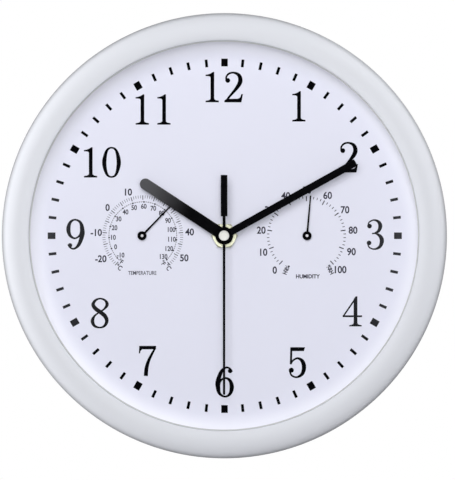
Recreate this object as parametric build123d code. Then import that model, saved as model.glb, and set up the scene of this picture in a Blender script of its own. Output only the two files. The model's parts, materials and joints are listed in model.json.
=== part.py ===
from build123d import *
from math import cos, radians, sin
import os

# A round wall clock with a thermometer and a hygrometer on its dial, in millimetres.
# Every piece is drawn with x to the right, y up and z from the wall towards the viewer.
# On export z becomes -Y and y becomes +Z, so the clock faces -Y and hangs on the plane Y = 0.

# Bezel
case_diameter = 250.0
bezel_width = 15.8
crown_radius = 10.0
lip_drop = 2.8
lip_thickness = 1.2
bezel_wall = 2.2
skirt_draft = 0.8
skirt_gap_to_wall = 2.0
locating_wall = 1.8
locating_overlap = 1.5

# Lens, seal and spacer ring
lens_thickness = 2.0
lens_overlap = 3.1
pocket_clearance = 0.3
seal_thickness = 0.5
seal_reveal = 0.6
lens_above_cap = 1.8
spacer_wall = 2.0
spacer_clearance = 0.1

# Dial
dial_thickness = 1.5
shaft_hole_clearance = 0.2
instrument_hole_radius = 1.6
instrument_offset = 46.5

# Back case
standoff = 6.0
back_plate_thickness = 2.0
back_edge_clearance = 0.3
wall_ring_inset = 13.7
wall_ring_width = 3.0
wall_ring_windows = 8
window_width = 12.0
window_rim = 1.5
clamp_ring_inset = 10.7
clamp_ring_width = 2.5
movement_clearance = 1.0
frame_wall = 2.0
frame_height = 6.0
rib_count = 8
rib_thickness = 1.6
rib_height = 3.0
vent_count = 5
vent_width = 2.8
vent_length = 22.0
vent_spacing = 6.0

# Keyhole
keyhole_inset = 49.7
keyhole_entry_radius = 4.5
keyhole_slot_width = 4.4
keyhole_travel = 9.0
keyhole_pad_thickness = 3.5
keyhole_pad_margin = 4.5

# Case screws
screw_count = 4
screw_head_radius = 2.8
screw_head_height = 1.8
screw_radius = 1.25
screw_length = 12.0
screw_clearance = 0.3
boss_embed = 0.5
pilot_extra_depth = 2.0

# Movement case
movement_side = 56.0
movement_depth = 15.2
movement_rear = 4.6
movement_wall = 1.2
movement_corner_radius = 2.0
bay_wall = 0.7
battery_diameter = 14.5
battery_length = 50.5
battery_nub_radius = 2.75
battery_nub_length = 1.3
battery_clearance = 0.4
battery_front_gap = 0.15
contact_thickness = 0.4
contact_width = 8.0
contact_tab_height = 2.0
contact_tab_length = 4.0
contact_slot_clearance = 0.2
leaf_width = 5.0
latch_width = 5.0
latch_thickness = 1.0
latch_length = 3.0
latch_offset = 12.0
cover_clearance = 0.1

# Shaft, nut and washers
rubber_washer_thickness = 0.7
rubber_washer_radius = 8.0
bush_radius = 4.0
bush_flange_radius = 5.5
bush_flange_thickness = 0.4
bush_above_nut = 0.7
brass_washer_thickness = 0.5
brass_washer_radius = 6.2
nut_across_flats = 13.0
nut_thickness = 2.2
nut_chamfer = 0.7
thread_clearance = 0.05

# Pipes and arbors
running_clearance = 0.06
pivot_clearance = 0.05
hour_pipe_radius = 2.55
minute_pipe_radius = 1.6
second_arbor_radius = 0.5
third_arbor_radius = 0.5
pivot_radius = 0.35
pivot_depth = 0.8
motion_post_radius = 0.7
knob_arbor_radius = 1.0

# Levels of the wheels, each measured from the piece behind it
wheel_thickness = 1.0
pinion_overrun = 0.4
fifth_wheel_rise = 0.6
second_wheel_rise = 0.6
third_wheel_rise = 0.6
middle_plate_rise = 0.8
middle_plate_thickness = 1.0
centre_wheel_rise = 1.0
motion_wheel_rise = 0.8
hour_wheel_rise = 0.8
boss_radius_inside = 1.4
post_width = 2.2

# Tooth counts of the train, from the rotor to the hour wheel
rotor_pinion_teeth = 6
fifth_wheel_teeth = 36
fifth_pinion_teeth = 6
second_wheel_teeth = 30
second_pinion_teeth = 6
third_wheel_teeth = 45
third_pinion_teeth = 6
centre_wheel_teeth = 48
cannon_pinion_teeth = 10
motion_wheel_teeth = 30
motion_pinion_teeth = 6
hour_wheel_teeth = 24
knob_pinion_teeth = 10

# Places of the arbors
rotor_distance = 6.3
fifth_distance = 9.6
third_distance = 11.88
motion_distance = 9.0
third_direction = 90.0
fifth_direction = -20.0
rotor_direction = 10.0
motion_direction = 200.0
knob_direction = 170.0

# Pointed tooth form, as shares of the module and of the tooth pitch
addendum_share = 0.8
dedendum_share = 1.1
tooth_root_share = 0.75

# Setting knob
knob_radius = 5.5
knob_thickness = 2.3
knob_gap = 0.2
knob_flutes = 18
knob_flute_depth = 0.4
knob_ridge_share = 0.7

# Stepping motor
magnet_radius = 2.2
magnet_length = 2.4
magnet_rise = 0.4
stator_gap = 0.5
stator_thickness = 0.8
stator_rise = 3.0
stator_left = 11.9
stator_bottom = -6.0
stator_block_top = 1.4
stator_arm_width = 3.4
stator_notch_radius = 0.35
core_offset = 22.2
core_width = 2.4
core_thickness = 0.8
core_bottom = -2.0
core_top = 23.5
coil_bottom = 2.6
coil_top = 19.6
coil_radius = 3.7
flange_radius = 4.2
flange_thickness = 0.8

# Posts that carry the middle plate and the stator, as places (x, y)
plate_post_left = -24.0
plate_post_top = 24.3
plate_post_inner = 9.0
plate_post_right = 15.5
plate_post_bottom = -9.2
middle_plate_right = 17.3
middle_plate_margin = 0.1

# Circuit board and crystal
board_width = 6.2
board_length = 32.0
board_thickness = 1.0
board_side_gap = 0.4
crystal_radius = 1.0
crystal_length = 6.0
crystal_height = 10.0

# Hands
hour_hand_length = 56.2
hour_hand_width = 6.4
hour_hand_hub_radius = 5.0
hour_hand_angle = 303.2
minute_hand_length = 84.6
minute_hand_width = 4.1
minute_hand_boss_radius = 4.3
minute_hand_boss_top_radius = 3.7
minute_hand_angle = 60.9
second_hand_length = 89.3
second_hand_width = 1.2
second_hand_hub_radius = 1.8
second_tail_length = 34.1
second_tail_width = 3.7
second_neck_length = 10.9
second_neck_width = 1.6
second_hand_angle = 180.0
hand_thickness = 0.5
second_hand_thickness = 0.4
hub_thickness = 0.9
hour_hand_rise = 0.7
hand_spacing = 1.1
pipe_above_hand = 0.3
second_hub_drop = 0.5
cap_radius = 2.9
cap_thickness = 1.2
cap_round = 0.5
cap_seat_depth = 0.4

# Thermometer and hygrometer
thermometer_angle = 43.8
hygrometer_angle = 5.1
pointer_length = 22.7
pointer_root_width = 1.0
pointer_tip_width = 0.5
pointer_thickness = 0.2
pointer_hub_radius = 2.55
pointer_hub_thickness = 0.7
pointer_rise = 0.4
neck_height = 0.3
neck_hole_clearance = 0.05
spindle_radius = 0.85
spindle_above_pointer = 0.2
collar_radius = 1.6
collar_thickness = 3.0
gauge_frame_radius = 10.0
gauge_frame_wall = 1.2
gauge_frame_depth = 8.0
gauge_plate_thickness = 0.8
leg_count = 3
leg_width = 2.4
spoke_width = 1.6
spoke_hub_radius = 1.8
coil_strip_width = 2.6
coil_strip_thickness = 0.3
coil_inner_gap = 0.3
coil_turn_pitch = 2.4
coil_half_turns = 4

# Derived radii
case_radius = case_diameter / 2
crown_circle_radius = case_radius - crown_radius
lip_radius = case_radius - bezel_width
lens_radius = lip_radius + lens_overlap
locating_inner_radius = lens_radius + pocket_clearance
locating_outer_radius = locating_inner_radius + locating_wall
skirt_rear_radius = case_radius - skirt_draft
spacer_outer_radius = lens_radius - spacer_clearance
back_radius = skirt_rear_radius - bezel_wall - back_edge_clearance
wall_ring_outer_radius = back_radius - wall_ring_inset
clamp_ring_outer_radius = back_radius - clamp_ring_inset
keyhole_height = back_radius - keyhole_inset
boss_circle_radius = (locating_outer_radius + skirt_rear_radius - bezel_wall) / 2
boss_radius = (skirt_rear_radius - bezel_wall - locating_outer_radius) / 2 + boss_embed
bush_bore_radius = hour_pipe_radius + running_clearance
hour_pipe_bore_radius = minute_pipe_radius + running_clearance
minute_pipe_bore_radius = second_arbor_radius + running_clearance

# Derived levels, from the wall forwards
back_plate_front = standoff + back_plate_thickness
movement_front = movement_rear + movement_depth
chamber_rear = movement_rear + movement_wall
chamber_front = movement_front - movement_wall
dial_rear = movement_front + rubber_washer_thickness
dial_front = dial_rear + dial_thickness
washer_front = dial_front + brass_washer_thickness
nut_front = washer_front + nut_thickness
bush_front = nut_front + bush_above_nut
hour_hand_rear = bush_front + hour_hand_rise
minute_hand_rear = hour_hand_rear + hub_thickness + hand_spacing
second_hand_rear = minute_hand_rear + hub_thickness + hand_spacing
hour_pipe_front = hour_hand_rear + hub_thickness + pipe_above_hand
minute_pipe_front = minute_hand_rear + hub_thickness + pipe_above_hand
second_arbor_front = second_hand_rear + second_hand_thickness + cap_seat_depth
cap_front = second_hand_rear + second_hand_thickness + cap_thickness
lens_rear = cap_front + lens_above_cap
lens_front = lens_rear + lens_thickness
lens_seat = lens_front + seal_thickness
lip_top = lens_seat + lip_thickness
case_depth = lip_top + lip_drop

fifth_wheel_rear = chamber_rear + fifth_wheel_rise
second_wheel_rear = fifth_wheel_rear + wheel_thickness + second_wheel_rise
third_wheel_rear = second_wheel_rear + wheel_thickness + third_wheel_rise
middle_plate_rear = third_wheel_rear + wheel_thickness + middle_plate_rise
middle_plate_front = middle_plate_rear + middle_plate_thickness
centre_wheel_rear = middle_plate_front + centre_wheel_rise
motion_wheel_rear = centre_wheel_rear + wheel_thickness + motion_wheel_rise
hour_wheel_rear = motion_wheel_rear + wheel_thickness + hour_wheel_rise
stator_rear = chamber_rear + stator_rise
stator_front = stator_rear + stator_thickness

# Derived places inside the movement
movement_half = movement_side / 2
chamber_half = movement_half - movement_wall
bay_top = -chamber_half + battery_diameter + battery_clearance
chamber_bottom = bay_top + bay_wall
battery_axis_height = -chamber_half + (battery_diameter + battery_clearance) / 2
battery_axis_level = chamber_front - battery_front_gap - battery_diameter / 2


def polar(radius, angle):
    return (radius * cos(radians(angle)), radius * sin(radians(angle)))


def beyond(place, distance, angle):
    step_x, step_y = polar(distance, angle)
    return (place[0] + step_x, place[1] + step_y)


third_place = polar(third_distance, third_direction)
fifth_place = polar(fifth_distance, fifth_direction)
rotor_place = beyond(fifth_place, rotor_distance, rotor_direction)
motion_place = polar(motion_distance, motion_direction)
knob_place = beyond(motion_place, motion_distance, knob_direction)
plate_posts = [
    (plate_post_left, plate_post_top),
    (plate_post_inner, plate_post_top),
    (plate_post_right, plate_post_bottom),
]
front_pillars = plate_posts + [(plate_post_left, plate_post_bottom)]
stator_posts = [
    (stator_left + stator_arm_width / 2, core_top - stator_arm_width / 2),
    (core_offset, (stator_bottom + core_bottom) / 2),
]


def at(place, part):
    return Pos(place[0], place[1], 0) * part


def disc(radius, rear, front):
    return Pos(0, 0, rear) * extrude(Circle(radius), amount=front - rear)


def ring(outer, inner, rear, front):
    return Pos(0, 0, rear) * extrude(Circle(outer) - Circle(inner), amount=front - rear)


def block(left, right, bottom, top, rear, front):
    middle = Pos((left + right) / 2, (bottom + top) / 2, rear)
    return middle * extrude(Rectangle(right - left, top - bottom), amount=front - rear)


def square_post(place, rear, front):
    half = post_width / 2
    return at(place, block(-half, half, -half, half, rear, front))


def around(count, part, start=0):
    return [Rot(0, 0, start + index * 360 / count) * part for index in range(count)]


def turned(points):
    """Solid of revolution about the clock's axis from (radius, level) points."""
    return revolve(Plane.XZ * make_face(Polyline(*points, close=True)), Axis.Z)


def module_of(distance, wheel_teeth, pinion_teeth):
    return 2 * distance / (wheel_teeth + pinion_teeth)


def toothed(teeth, tip_radius, root_radius, root_share):
    """Closed outline of pointed teeth, the first of them along x."""
    corners = [(root_radius, -root_share / 2), (tip_radius, 0), (root_radius, root_share / 2)]
    points = [
        polar(radius, (index + share) * 360 / teeth)
        for index in range(teeth)
        for radius, share in corners
    ]
    return make_face(Polyline(*points, close=True))


def gear(teeth, module, rear, front, phase):
    pitch_radius = module * teeth / 2
    tip_radius = pitch_radius + addendum_share * module
    root_radius = pitch_radius - dedendum_share * module
    outline = toothed(teeth, tip_radius, root_radius, tooth_root_share)
    return Pos(0, 0, rear) * Rot(0, 0, phase) * extrude(outline, amount=front - rear)


def meshing_phase(direction, driver_teeth, driver_phase, driven_teeth):
    """Phase that puts a gap of the driven gear on the driver's nearest tooth."""
    driver_pitch = 360 / driver_teeth
    past_tooth = (direction - driver_phase) % driver_pitch
    gap_angle = direction + 180 + past_tooth * driver_teeth / driven_teeth
    return gap_angle + 180 / driven_teeth


# Modules and phases of the train
fast_module = module_of(rotor_distance, fifth_wheel_teeth, rotor_pinion_teeth)
fifth_module = module_of(fifth_distance, second_wheel_teeth, fifth_pinion_teeth)
third_module = module_of(third_distance, third_wheel_teeth, second_pinion_teeth)
centre_module = module_of(third_distance, centre_wheel_teeth, third_pinion_teeth)
motion_module = module_of(motion_distance, motion_wheel_teeth, cannon_pinion_teeth)
hour_module = module_of(motion_distance, hour_wheel_teeth, motion_pinion_teeth)

rotor_pinion_phase = rotor_direction + 180
fifth_wheel_phase = meshing_phase(
    rotor_direction + 180, rotor_pinion_teeth, rotor_pinion_phase, fifth_wheel_teeth
)
fifth_pinion_phase = fifth_direction + 180
second_wheel_phase = meshing_phase(
    fifth_direction + 180, fifth_pinion_teeth, fifth_pinion_phase, second_wheel_teeth
)
second_pinion_phase = third_direction
third_wheel_phase = meshing_phase(
    third_direction, second_pinion_teeth, second_pinion_phase, third_wheel_teeth
)
third_pinion_phase = third_direction + 180
centre_wheel_phase = meshing_phase(
    third_direction + 180, third_pinion_teeth, third_pinion_phase, centre_wheel_teeth
)
cannon_pinion_phase = motion_direction
motion_wheel_phase = meshing_phase(
    motion_direction, cannon_pinion_teeth, cannon_pinion_phase, motion_wheel_teeth
)
motion_pinion_phase = motion_direction + 180
hour_wheel_phase = meshing_phase(
    motion_direction + 180, motion_pinion_teeth, motion_pinion_phase, hour_wheel_teeth
)
knob_pinion_phase = meshing_phase(
    knob_direction, motion_wheel_teeth, motion_wheel_phase, knob_pinion_teeth
)


def bezel_outer_face():
    """Half section of the bezel's outside, filled to the lip radius."""
    shoulder = case_depth - crown_radius
    rear = Line((lip_radius, skirt_gap_to_wall), (skirt_rear_radius, skirt_gap_to_wall))
    skirt = Line(rear @ 1, (case_radius, shoulder))
    crown = CenterArc((crown_circle_radius, shoulder), crown_radius, 0, 90)
    slope = TangentArc(crown @ 1, (lip_radius, lip_top), tangent=(-1, 0))
    closing = Line(slope @ 1, rear @ 0)
    return make_face([rear, skirt, crown, slope, closing])


def bezel_channel_face():
    """Half section of the channel between the skirt and the locating wall."""
    shoulder = case_depth - crown_radius
    inner_crown = crown_radius - bezel_wall
    slant = inner_crown * cos(radians(45))
    outline = Polyline(
        (locating_outer_radius, skirt_gap_to_wall),
        (skirt_rear_radius - bezel_wall, skirt_gap_to_wall),
        (case_radius - bezel_wall, shoulder),
        (crown_circle_radius + slant, shoulder + slant),
        (crown_circle_radius, shoulder + inner_crown),
        (locating_outer_radius, shoulder + inner_crown),
        close=True,
    )
    return make_face(outline)


def front_bezel():
    envelope = revolve(Plane.XZ * bezel_outer_face(), Axis.Z)
    channel = revolve(Plane.XZ * bezel_channel_face(), Axis.Z)
    pocket = disc(locating_inner_radius, skirt_gap_to_wall, lens_seat)
    locating_rear = dial_rear - locating_overlap
    below_locating = disc(locating_outer_radius, skirt_gap_to_wall, locating_rear)
    shell = envelope - channel - pocket - below_locating
    shoulder = case_depth - crown_radius
    boss = at((boss_circle_radius, 0), disc(boss_radius, back_plate_front, shoulder))
    bore_front = standoff + screw_length + pilot_extra_depth
    bore = at((boss_circle_radius, 0), disc(screw_radius, back_plate_front, bore_front))
    start = 180 / screw_count
    return shell + around(screw_count, boss, start) - around(screw_count, bore, start)


def lens_seal():
    return ring(lens_radius, lip_radius - seal_reveal, lens_front, lens_seat)


def lens_glass():
    return disc(lens_radius, lens_rear, lens_front)


def dial_spacer_ring():
    return ring(spacer_outer_radius, spacer_outer_radius - spacer_wall, dial_front, lens_rear)


def dial_plate():
    plate = ring(lens_radius, bush_radius + shaft_hole_clearance, dial_rear, dial_front)
    hole = disc(instrument_hole_radius, dial_rear, dial_front)
    return plate - at((-instrument_offset, 0), hole) - at((instrument_offset, 0), hole)


def keyhole_cut():
    entry = at((0, keyhole_height), disc(keyhole_entry_radius, 0, dial_rear))
    slot = block(
        -keyhole_slot_width / 2,
        keyhole_slot_width / 2,
        keyhole_height,
        keyhole_height + keyhole_travel,
        0,
        dial_rear,
    )
    slot_end = at((0, keyhole_height + keyhole_travel), disc(keyhole_slot_width / 2, 0, dial_rear))
    return entry + slot + slot_end


def keyhole_pad():
    width = 2 * (keyhole_entry_radius + keyhole_pad_margin)
    outline = Rot(0, 0, 90) * SlotCenterToCenter(keyhole_travel, width)
    place = Pos(0, keyhole_height + keyhole_travel / 2, standoff)
    return place * extrude(outline, amount=keyhole_pad_thickness)


def vents(side):
    cut = block(
        -vent_width / 2, vent_width / 2, -vent_length / 2, vent_length / 2, standoff, back_plate_front
    )
    middle = (vent_count - 1) / 2
    return [
        at((side * instrument_offset + (index - middle) * vent_spacing, 0), cut)
        for index in range(vent_count)
    ]


def back_case():
    plate = disc(back_radius, standoff, back_plate_front)
    wall_ring = ring(
        wall_ring_outer_radius, wall_ring_outer_radius - wall_ring_width, 0, standoff
    )
    clamp_ring = ring(
        clamp_ring_outer_radius,
        clamp_ring_outer_radius - clamp_ring_width,
        back_plate_front,
        dial_rear,
    )
    opening_half = movement_half + movement_clearance
    frame_half = opening_half + frame_wall
    frame_front = back_plate_front + frame_height
    frame = block(-frame_half, frame_half, -frame_half, frame_half, back_plate_front, frame_front)
    rib = block(
        opening_half,
        clamp_ring_outer_radius - clamp_ring_width / 2,
        -rib_thickness / 2,
        rib_thickness / 2,
        back_plate_front,
        back_plate_front + rib_height,
    )
    ribs = around(rib_count, rib, start=180 / rib_count)
    opening = block(-opening_half, opening_half, -opening_half, opening_half, 0, dial_rear)
    window = block(
        wall_ring_outer_radius - 2 * wall_ring_width,
        case_radius,
        -window_width / 2,
        window_width / 2,
        window_rim,
        standoff,
    )
    windows = around(wall_ring_windows, window, start=180 / wall_ring_windows)
    hole = at(
        (boss_circle_radius, 0), disc(screw_radius + screw_clearance, standoff, back_plate_front)
    )
    solid = plate + wall_ring - windows + clamp_ring + frame + ribs + keyhole_pad()
    solid = solid - opening - keyhole_cut() - around(screw_count, hole, start=180 / screw_count)
    return solid - vents(-1) - vents(1)


def case_screws():
    head_rear = standoff - screw_head_height
    head = disc(screw_head_radius, head_rear, standoff)
    shank = disc(screw_radius, standoff, standoff + screw_length)
    screw = at((boss_circle_radius, 0), head + shank)
    return Compound(children=around(screw_count, screw, start=180 / screw_count))


def contact_slots():
    """Slots in the bay's wall that the tabs of the battery contacts pass through."""
    tab_rear = chamber_rear + board_thickness
    slot_depth = contact_thickness + contact_slot_clearance
    slot = block(
        chamber_half - slot_depth,
        chamber_half,
        bay_top,
        chamber_bottom,
        tab_rear - contact_slot_clearance,
        tab_rear + contact_tab_height + contact_slot_clearance,
    )
    return [slot, mirror(slot, about=Plane.YZ)]


def movement_front_case():
    outline = RectangleRounded(movement_side, movement_side, movement_corner_radius)
    body = Pos(0, 0, movement_rear) * extrude(outline, amount=movement_depth)
    chamber = block(
        -chamber_half, chamber_half, chamber_bottom, chamber_half, movement_rear, chamber_front
    )
    bay = block(-chamber_half, chamber_half, -chamber_half, bay_top, movement_rear, chamber_front)
    cover_recess = block(
        -movement_half, movement_half, bay_top, movement_half, movement_rear, chamber_rear
    )
    body = body - chamber - bay - cover_recess - contact_slots()
    pillars = [square_post(place, middle_plate_front, chamber_front) for place in front_pillars]
    boss_rear = hour_wheel_rear - motion_wheel_rise
    boss = disc(boss_radius_inside, boss_rear, chamber_front)
    third_bore = disc(third_arbor_radius + pivot_clearance, boss_rear, chamber_front)
    motion_post = disc(motion_post_radius, motion_wheel_rear, chamber_front)
    body = body + pillars + at(third_place, boss) + at(motion_place, motion_post)
    return body - at(third_place, third_bore) - disc(bush_radius, chamber_front, movement_front)


def movement_rear_cover():
    outline = RectangleRounded(movement_side, movement_side, movement_corner_radius)
    plate = Pos(0, 0, movement_rear) * extrude(outline, amount=movement_wall)
    plate = plate - block(
        -movement_half,
        movement_half,
        -movement_half,
        bay_top + cover_clearance,
        movement_rear,
        chamber_rear,
    )
    latch = block(
        latch_offset - latch_width / 2,
        latch_offset + latch_width / 2,
        chamber_half - cover_clearance - latch_thickness,
        chamber_half - cover_clearance,
        chamber_rear,
        chamber_rear + latch_length,
    )
    posts = [square_post(place, chamber_rear, middle_plate_rear) for place in plate_posts]
    posts += [square_post(place, chamber_rear, stator_rear) for place in stator_posts]
    plate = plate + posts + latch + mirror(latch, about=Plane.YZ)
    pivot = disc(pivot_radius + pivot_clearance, chamber_rear - pivot_depth, chamber_rear)
    second_hole = disc(
        second_arbor_radius + pivot_clearance, chamber_rear - pivot_depth, chamber_rear
    )
    third_hole = disc(
        third_arbor_radius + pivot_clearance, chamber_rear - pivot_depth, chamber_rear
    )
    knob_hole = disc(knob_arbor_radius + running_clearance, movement_rear, chamber_rear)
    pivots = [at(fifth_place, pivot), at(rotor_place, pivot), at(third_place, third_hole)]
    return plate - pivots - second_hole - at(knob_place, knob_hole)


def middle_plate():
    plate = block(
        middle_plate_margin - chamber_half,
        middle_plate_right,
        chamber_bottom + middle_plate_margin,
        chamber_half - middle_plate_margin,
        middle_plate_rear,
        middle_plate_front,
    )
    pivot = disc(pivot_radius + pivot_clearance, middle_plate_rear, middle_plate_front)
    second_hole = disc(
        second_arbor_radius + running_clearance, middle_plate_rear, middle_plate_front
    )
    third_hole = disc(
        third_arbor_radius + running_clearance, middle_plate_rear, middle_plate_front
    )
    knob_hole = disc(knob_arbor_radius + running_clearance, middle_plate_rear, middle_plate_front)
    plate = plate - second_hole - at(third_place, third_hole) - at(knob_place, knob_hole)
    return plate - at(fifth_place, pivot) - at(rotor_place, pivot)


def threaded_bush():
    flange = disc(bush_flange_radius, chamber_front - bush_flange_thickness, chamber_front)
    barrel = disc(bush_radius, chamber_front - bush_flange_thickness, bush_front)
    return flange + barrel - disc(
        bush_bore_radius, chamber_front - bush_flange_thickness, bush_front
    )


def rubber_washer():
    return ring(rubber_washer_radius, bush_radius + thread_clearance, movement_front, dial_rear)


def dial_washer():
    return ring(brass_washer_radius, bush_radius + thread_clearance, dial_front, washer_front)


def shaft_nut():
    corner_radius = nut_across_flats / 2 / cos(radians(30))
    hexagon = RegularPolygon(corner_radius, 6)
    prism = Pos(0, 0, washer_front) * extrude(hexagon, amount=nut_thickness)
    blank = turned(
        [
            (0, washer_front),
            (corner_radius, washer_front),
            (corner_radius, nut_front - nut_chamfer),
            (corner_radius - 2 * nut_chamfer, nut_front),
            (0, nut_front),
        ]
    )
    return (prism & blank) - disc(bush_radius, washer_front, nut_front)


def circuit_board():
    left = board_side_gap - chamber_half
    return block(
        left,
        left + board_width,
        chamber_bottom,
        chamber_bottom + board_length,
        chamber_rear,
        chamber_rear + board_thickness,
    )


def quartz_crystal():
    can = Rot(-90, 0, 0) * extrude(Circle(crystal_radius), amount=crystal_length)
    middle = board_side_gap - chamber_half + board_width / 2
    return Pos(middle, crystal_height, chamber_rear + board_thickness + crystal_radius) * can


def battery_cell():
    barrel_length = battery_length - battery_nub_length
    left = contact_thickness - chamber_half
    place = Pos(left, battery_axis_height, battery_axis_level)
    barrel = Pos(battery_nub_length, 0, 0) * Rot(0, 90, 0) * extrude(
        Circle(battery_diameter / 2), amount=barrel_length
    )
    nub = Rot(0, 90, 0) * extrude(Circle(battery_nub_radius), amount=battery_nub_length)
    return place * (barrel + nub)


def contact_plate(side):
    """Flat contact plate against one end wall of the bay, with a tab into the chamber."""
    near = side * chamber_half
    far = side * (chamber_half - contact_thickness)
    left, right = min(near, far), max(near, far)
    tab_rear = chamber_rear + board_thickness
    plate = block(
        left,
        right,
        battery_axis_height - contact_width / 2,
        battery_axis_height + contact_width / 2,
        battery_axis_level - contact_width / 2,
        battery_axis_level + contact_width / 2,
    )
    tab = block(
        left,
        right,
        battery_axis_height,
        chamber_bottom + contact_tab_length,
        tab_rear,
        tab_rear + contact_tab_height,
    )
    return plate + tab


def battery_contact_positive():
    return contact_plate(-1)


def battery_contact_negative():
    plate = contact_plate(1)
    tab_rear = chamber_rear + board_thickness
    rail = block(
        board_side_gap - chamber_half + board_width / 2,
        chamber_half,
        chamber_bottom,
        chamber_bottom + contact_thickness,
        tab_rear,
        tab_rear + contact_tab_height,
    )
    plate_face = chamber_half - contact_thickness
    battery_end = contact_thickness - chamber_half + battery_length
    low = battery_axis_height - contact_width / 2
    high = battery_axis_height + contact_width / 2
    outside = ThreePointArc(
        (plate_face, low), (battery_end, battery_axis_height), (plate_face, high)
    )
    inside = ThreePointArc(
        (plate_face, high - contact_thickness),
        (battery_end + contact_thickness, battery_axis_height),
        (plate_face, low + contact_thickness),
    )
    ends = [Line(outside @ 1, inside @ 0), Line(inside @ 1, outside @ 0)]
    bow = make_face([outside, inside] + ends)
    leaf = Pos(0, 0, battery_axis_level - leaf_width / 2) * extrude(bow, amount=leaf_width)
    return plate + rail + leaf


def motor_stator():
    block_part = block(
        stator_left,
        core_offset + core_width / 2,
        stator_bottom,
        stator_block_top,
        stator_rear,
        stator_front,
    )
    arm = block(
        stator_left,
        stator_left + stator_arm_width,
        stator_block_top,
        core_top,
        stator_rear,
        stator_front,
    )
    bar = block(
        stator_left,
        core_offset + core_width / 2,
        core_top - stator_arm_width,
        core_top,
        stator_rear,
        stator_front,
    )
    hole_radius = magnet_radius + stator_gap
    hole = disc(hole_radius, stator_rear, stator_front)
    notch = disc(stator_notch_radius, stator_rear, stator_front)
    notches = [at(beyond(rotor_place, hole_radius, angle), notch) for angle in (90, -90)]
    return block_part + arm + bar - at(rotor_place, hole) - notches


def coil_core():
    return block(
        core_offset - core_width / 2,
        core_offset + core_width / 2,
        core_bottom,
        core_top,
        stator_front,
        stator_front + core_thickness,
    )


def motor_coil():
    level = stator_front + core_thickness / 2
    place = Pos(core_offset, coil_bottom, level) * Rot(-90, 0, 0)
    length = coil_top - coil_bottom
    winding = extrude(Circle(coil_radius), amount=length)
    flange = extrude(Circle(flange_radius), amount=flange_thickness)
    spool = winding + flange + Pos(0, 0, length - flange_thickness) * flange
    return place * spool - coil_core()


def rotor():
    pinion_rear = fifth_wheel_rear - pinion_overrun
    pinion_front = fifth_wheel_rear + wheel_thickness + pinion_overrun
    pinion = gear(rotor_pinion_teeth, fast_module, pinion_rear, pinion_front, rotor_pinion_phase)
    magnet_rear = pinion_front + magnet_rise
    magnet = disc(magnet_radius, magnet_rear, magnet_rear + magnet_length)
    pivot = disc(pivot_radius, chamber_rear - pivot_depth, middle_plate_front)
    return at(rotor_place, pinion + magnet + pivot)


def fifth_wheel():
    wheel_front = fifth_wheel_rear + wheel_thickness
    wheel = gear(
        fifth_wheel_teeth, fast_module, fifth_wheel_rear, wheel_front, fifth_wheel_phase
    )
    pinion_front = second_wheel_rear + wheel_thickness + pinion_overrun
    pinion = gear(
        fifth_pinion_teeth, fifth_module, wheel_front, pinion_front, fifth_pinion_phase
    )
    pivot = disc(pivot_radius, chamber_rear - pivot_depth, middle_plate_front)
    return at(fifth_place, wheel + pinion + pivot)


def second_wheel():
    wheel_front = second_wheel_rear + wheel_thickness
    wheel = gear(
        second_wheel_teeth, fifth_module, second_wheel_rear, wheel_front, second_wheel_phase
    )
    pinion_front = third_wheel_rear + wheel_thickness + pinion_overrun
    pinion = gear(
        second_pinion_teeth, third_module, wheel_front, pinion_front, second_pinion_phase
    )
    return wheel + pinion + disc(
        second_arbor_radius, chamber_rear - pivot_depth, second_arbor_front
    )


def third_wheel():
    wheel_front = third_wheel_rear + wheel_thickness
    wheel = gear(third_wheel_teeth, third_module, third_wheel_rear, wheel_front, third_wheel_phase)
    pinion_rear = centre_wheel_rear - pinion_overrun
    pinion_front = centre_wheel_rear + wheel_thickness + pinion_overrun
    pinion = gear(
        third_pinion_teeth, centre_module, pinion_rear, pinion_front, third_pinion_phase
    )
    arbor = disc(third_arbor_radius, chamber_rear - pivot_depth, hour_wheel_rear)
    return at(third_place, wheel + pinion + arbor)


def centre_wheel():
    front = centre_wheel_rear + wheel_thickness
    wheel = gear(centre_wheel_teeth, centre_module, centre_wheel_rear, front, centre_wheel_phase)
    return wheel - disc(minute_pipe_radius, centre_wheel_rear, front)


def minute_pipe():
    pinion_rear = centre_wheel_rear + wheel_thickness
    pinion_front = motion_wheel_rear + wheel_thickness + pinion_overrun
    pinion = gear(
        cannon_pinion_teeth, motion_module, pinion_rear, pinion_front, cannon_pinion_phase
    )
    pipe_rear = centre_wheel_rear - pinion_overrun
    pipe = disc(minute_pipe_radius, pipe_rear, minute_pipe_front)
    return pinion + pipe - disc(minute_pipe_bore_radius, pipe_rear, minute_pipe_front)


def motion_wheel():
    wheel_front = motion_wheel_rear + wheel_thickness
    wheel = gear(
        motion_wheel_teeth, motion_module, motion_wheel_rear, wheel_front, motion_wheel_phase
    )
    pinion_front = hour_wheel_rear + wheel_thickness + pinion_overrun / 2
    pinion = gear(
        motion_pinion_teeth, hour_module, wheel_front, pinion_front, motion_pinion_phase
    )
    bore = disc(motion_post_radius + running_clearance, motion_wheel_rear, pinion_front)
    return at(motion_place, wheel + pinion - bore)


def hour_wheel():
    front = hour_wheel_rear + wheel_thickness
    wheel = gear(hour_wheel_teeth, hour_module, hour_wheel_rear, front, hour_wheel_phase)
    pipe = disc(hour_pipe_radius, hour_wheel_rear, hour_pipe_front)
    return wheel + pipe - disc(hour_pipe_bore_radius, hour_wheel_rear, hour_pipe_front)


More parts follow.
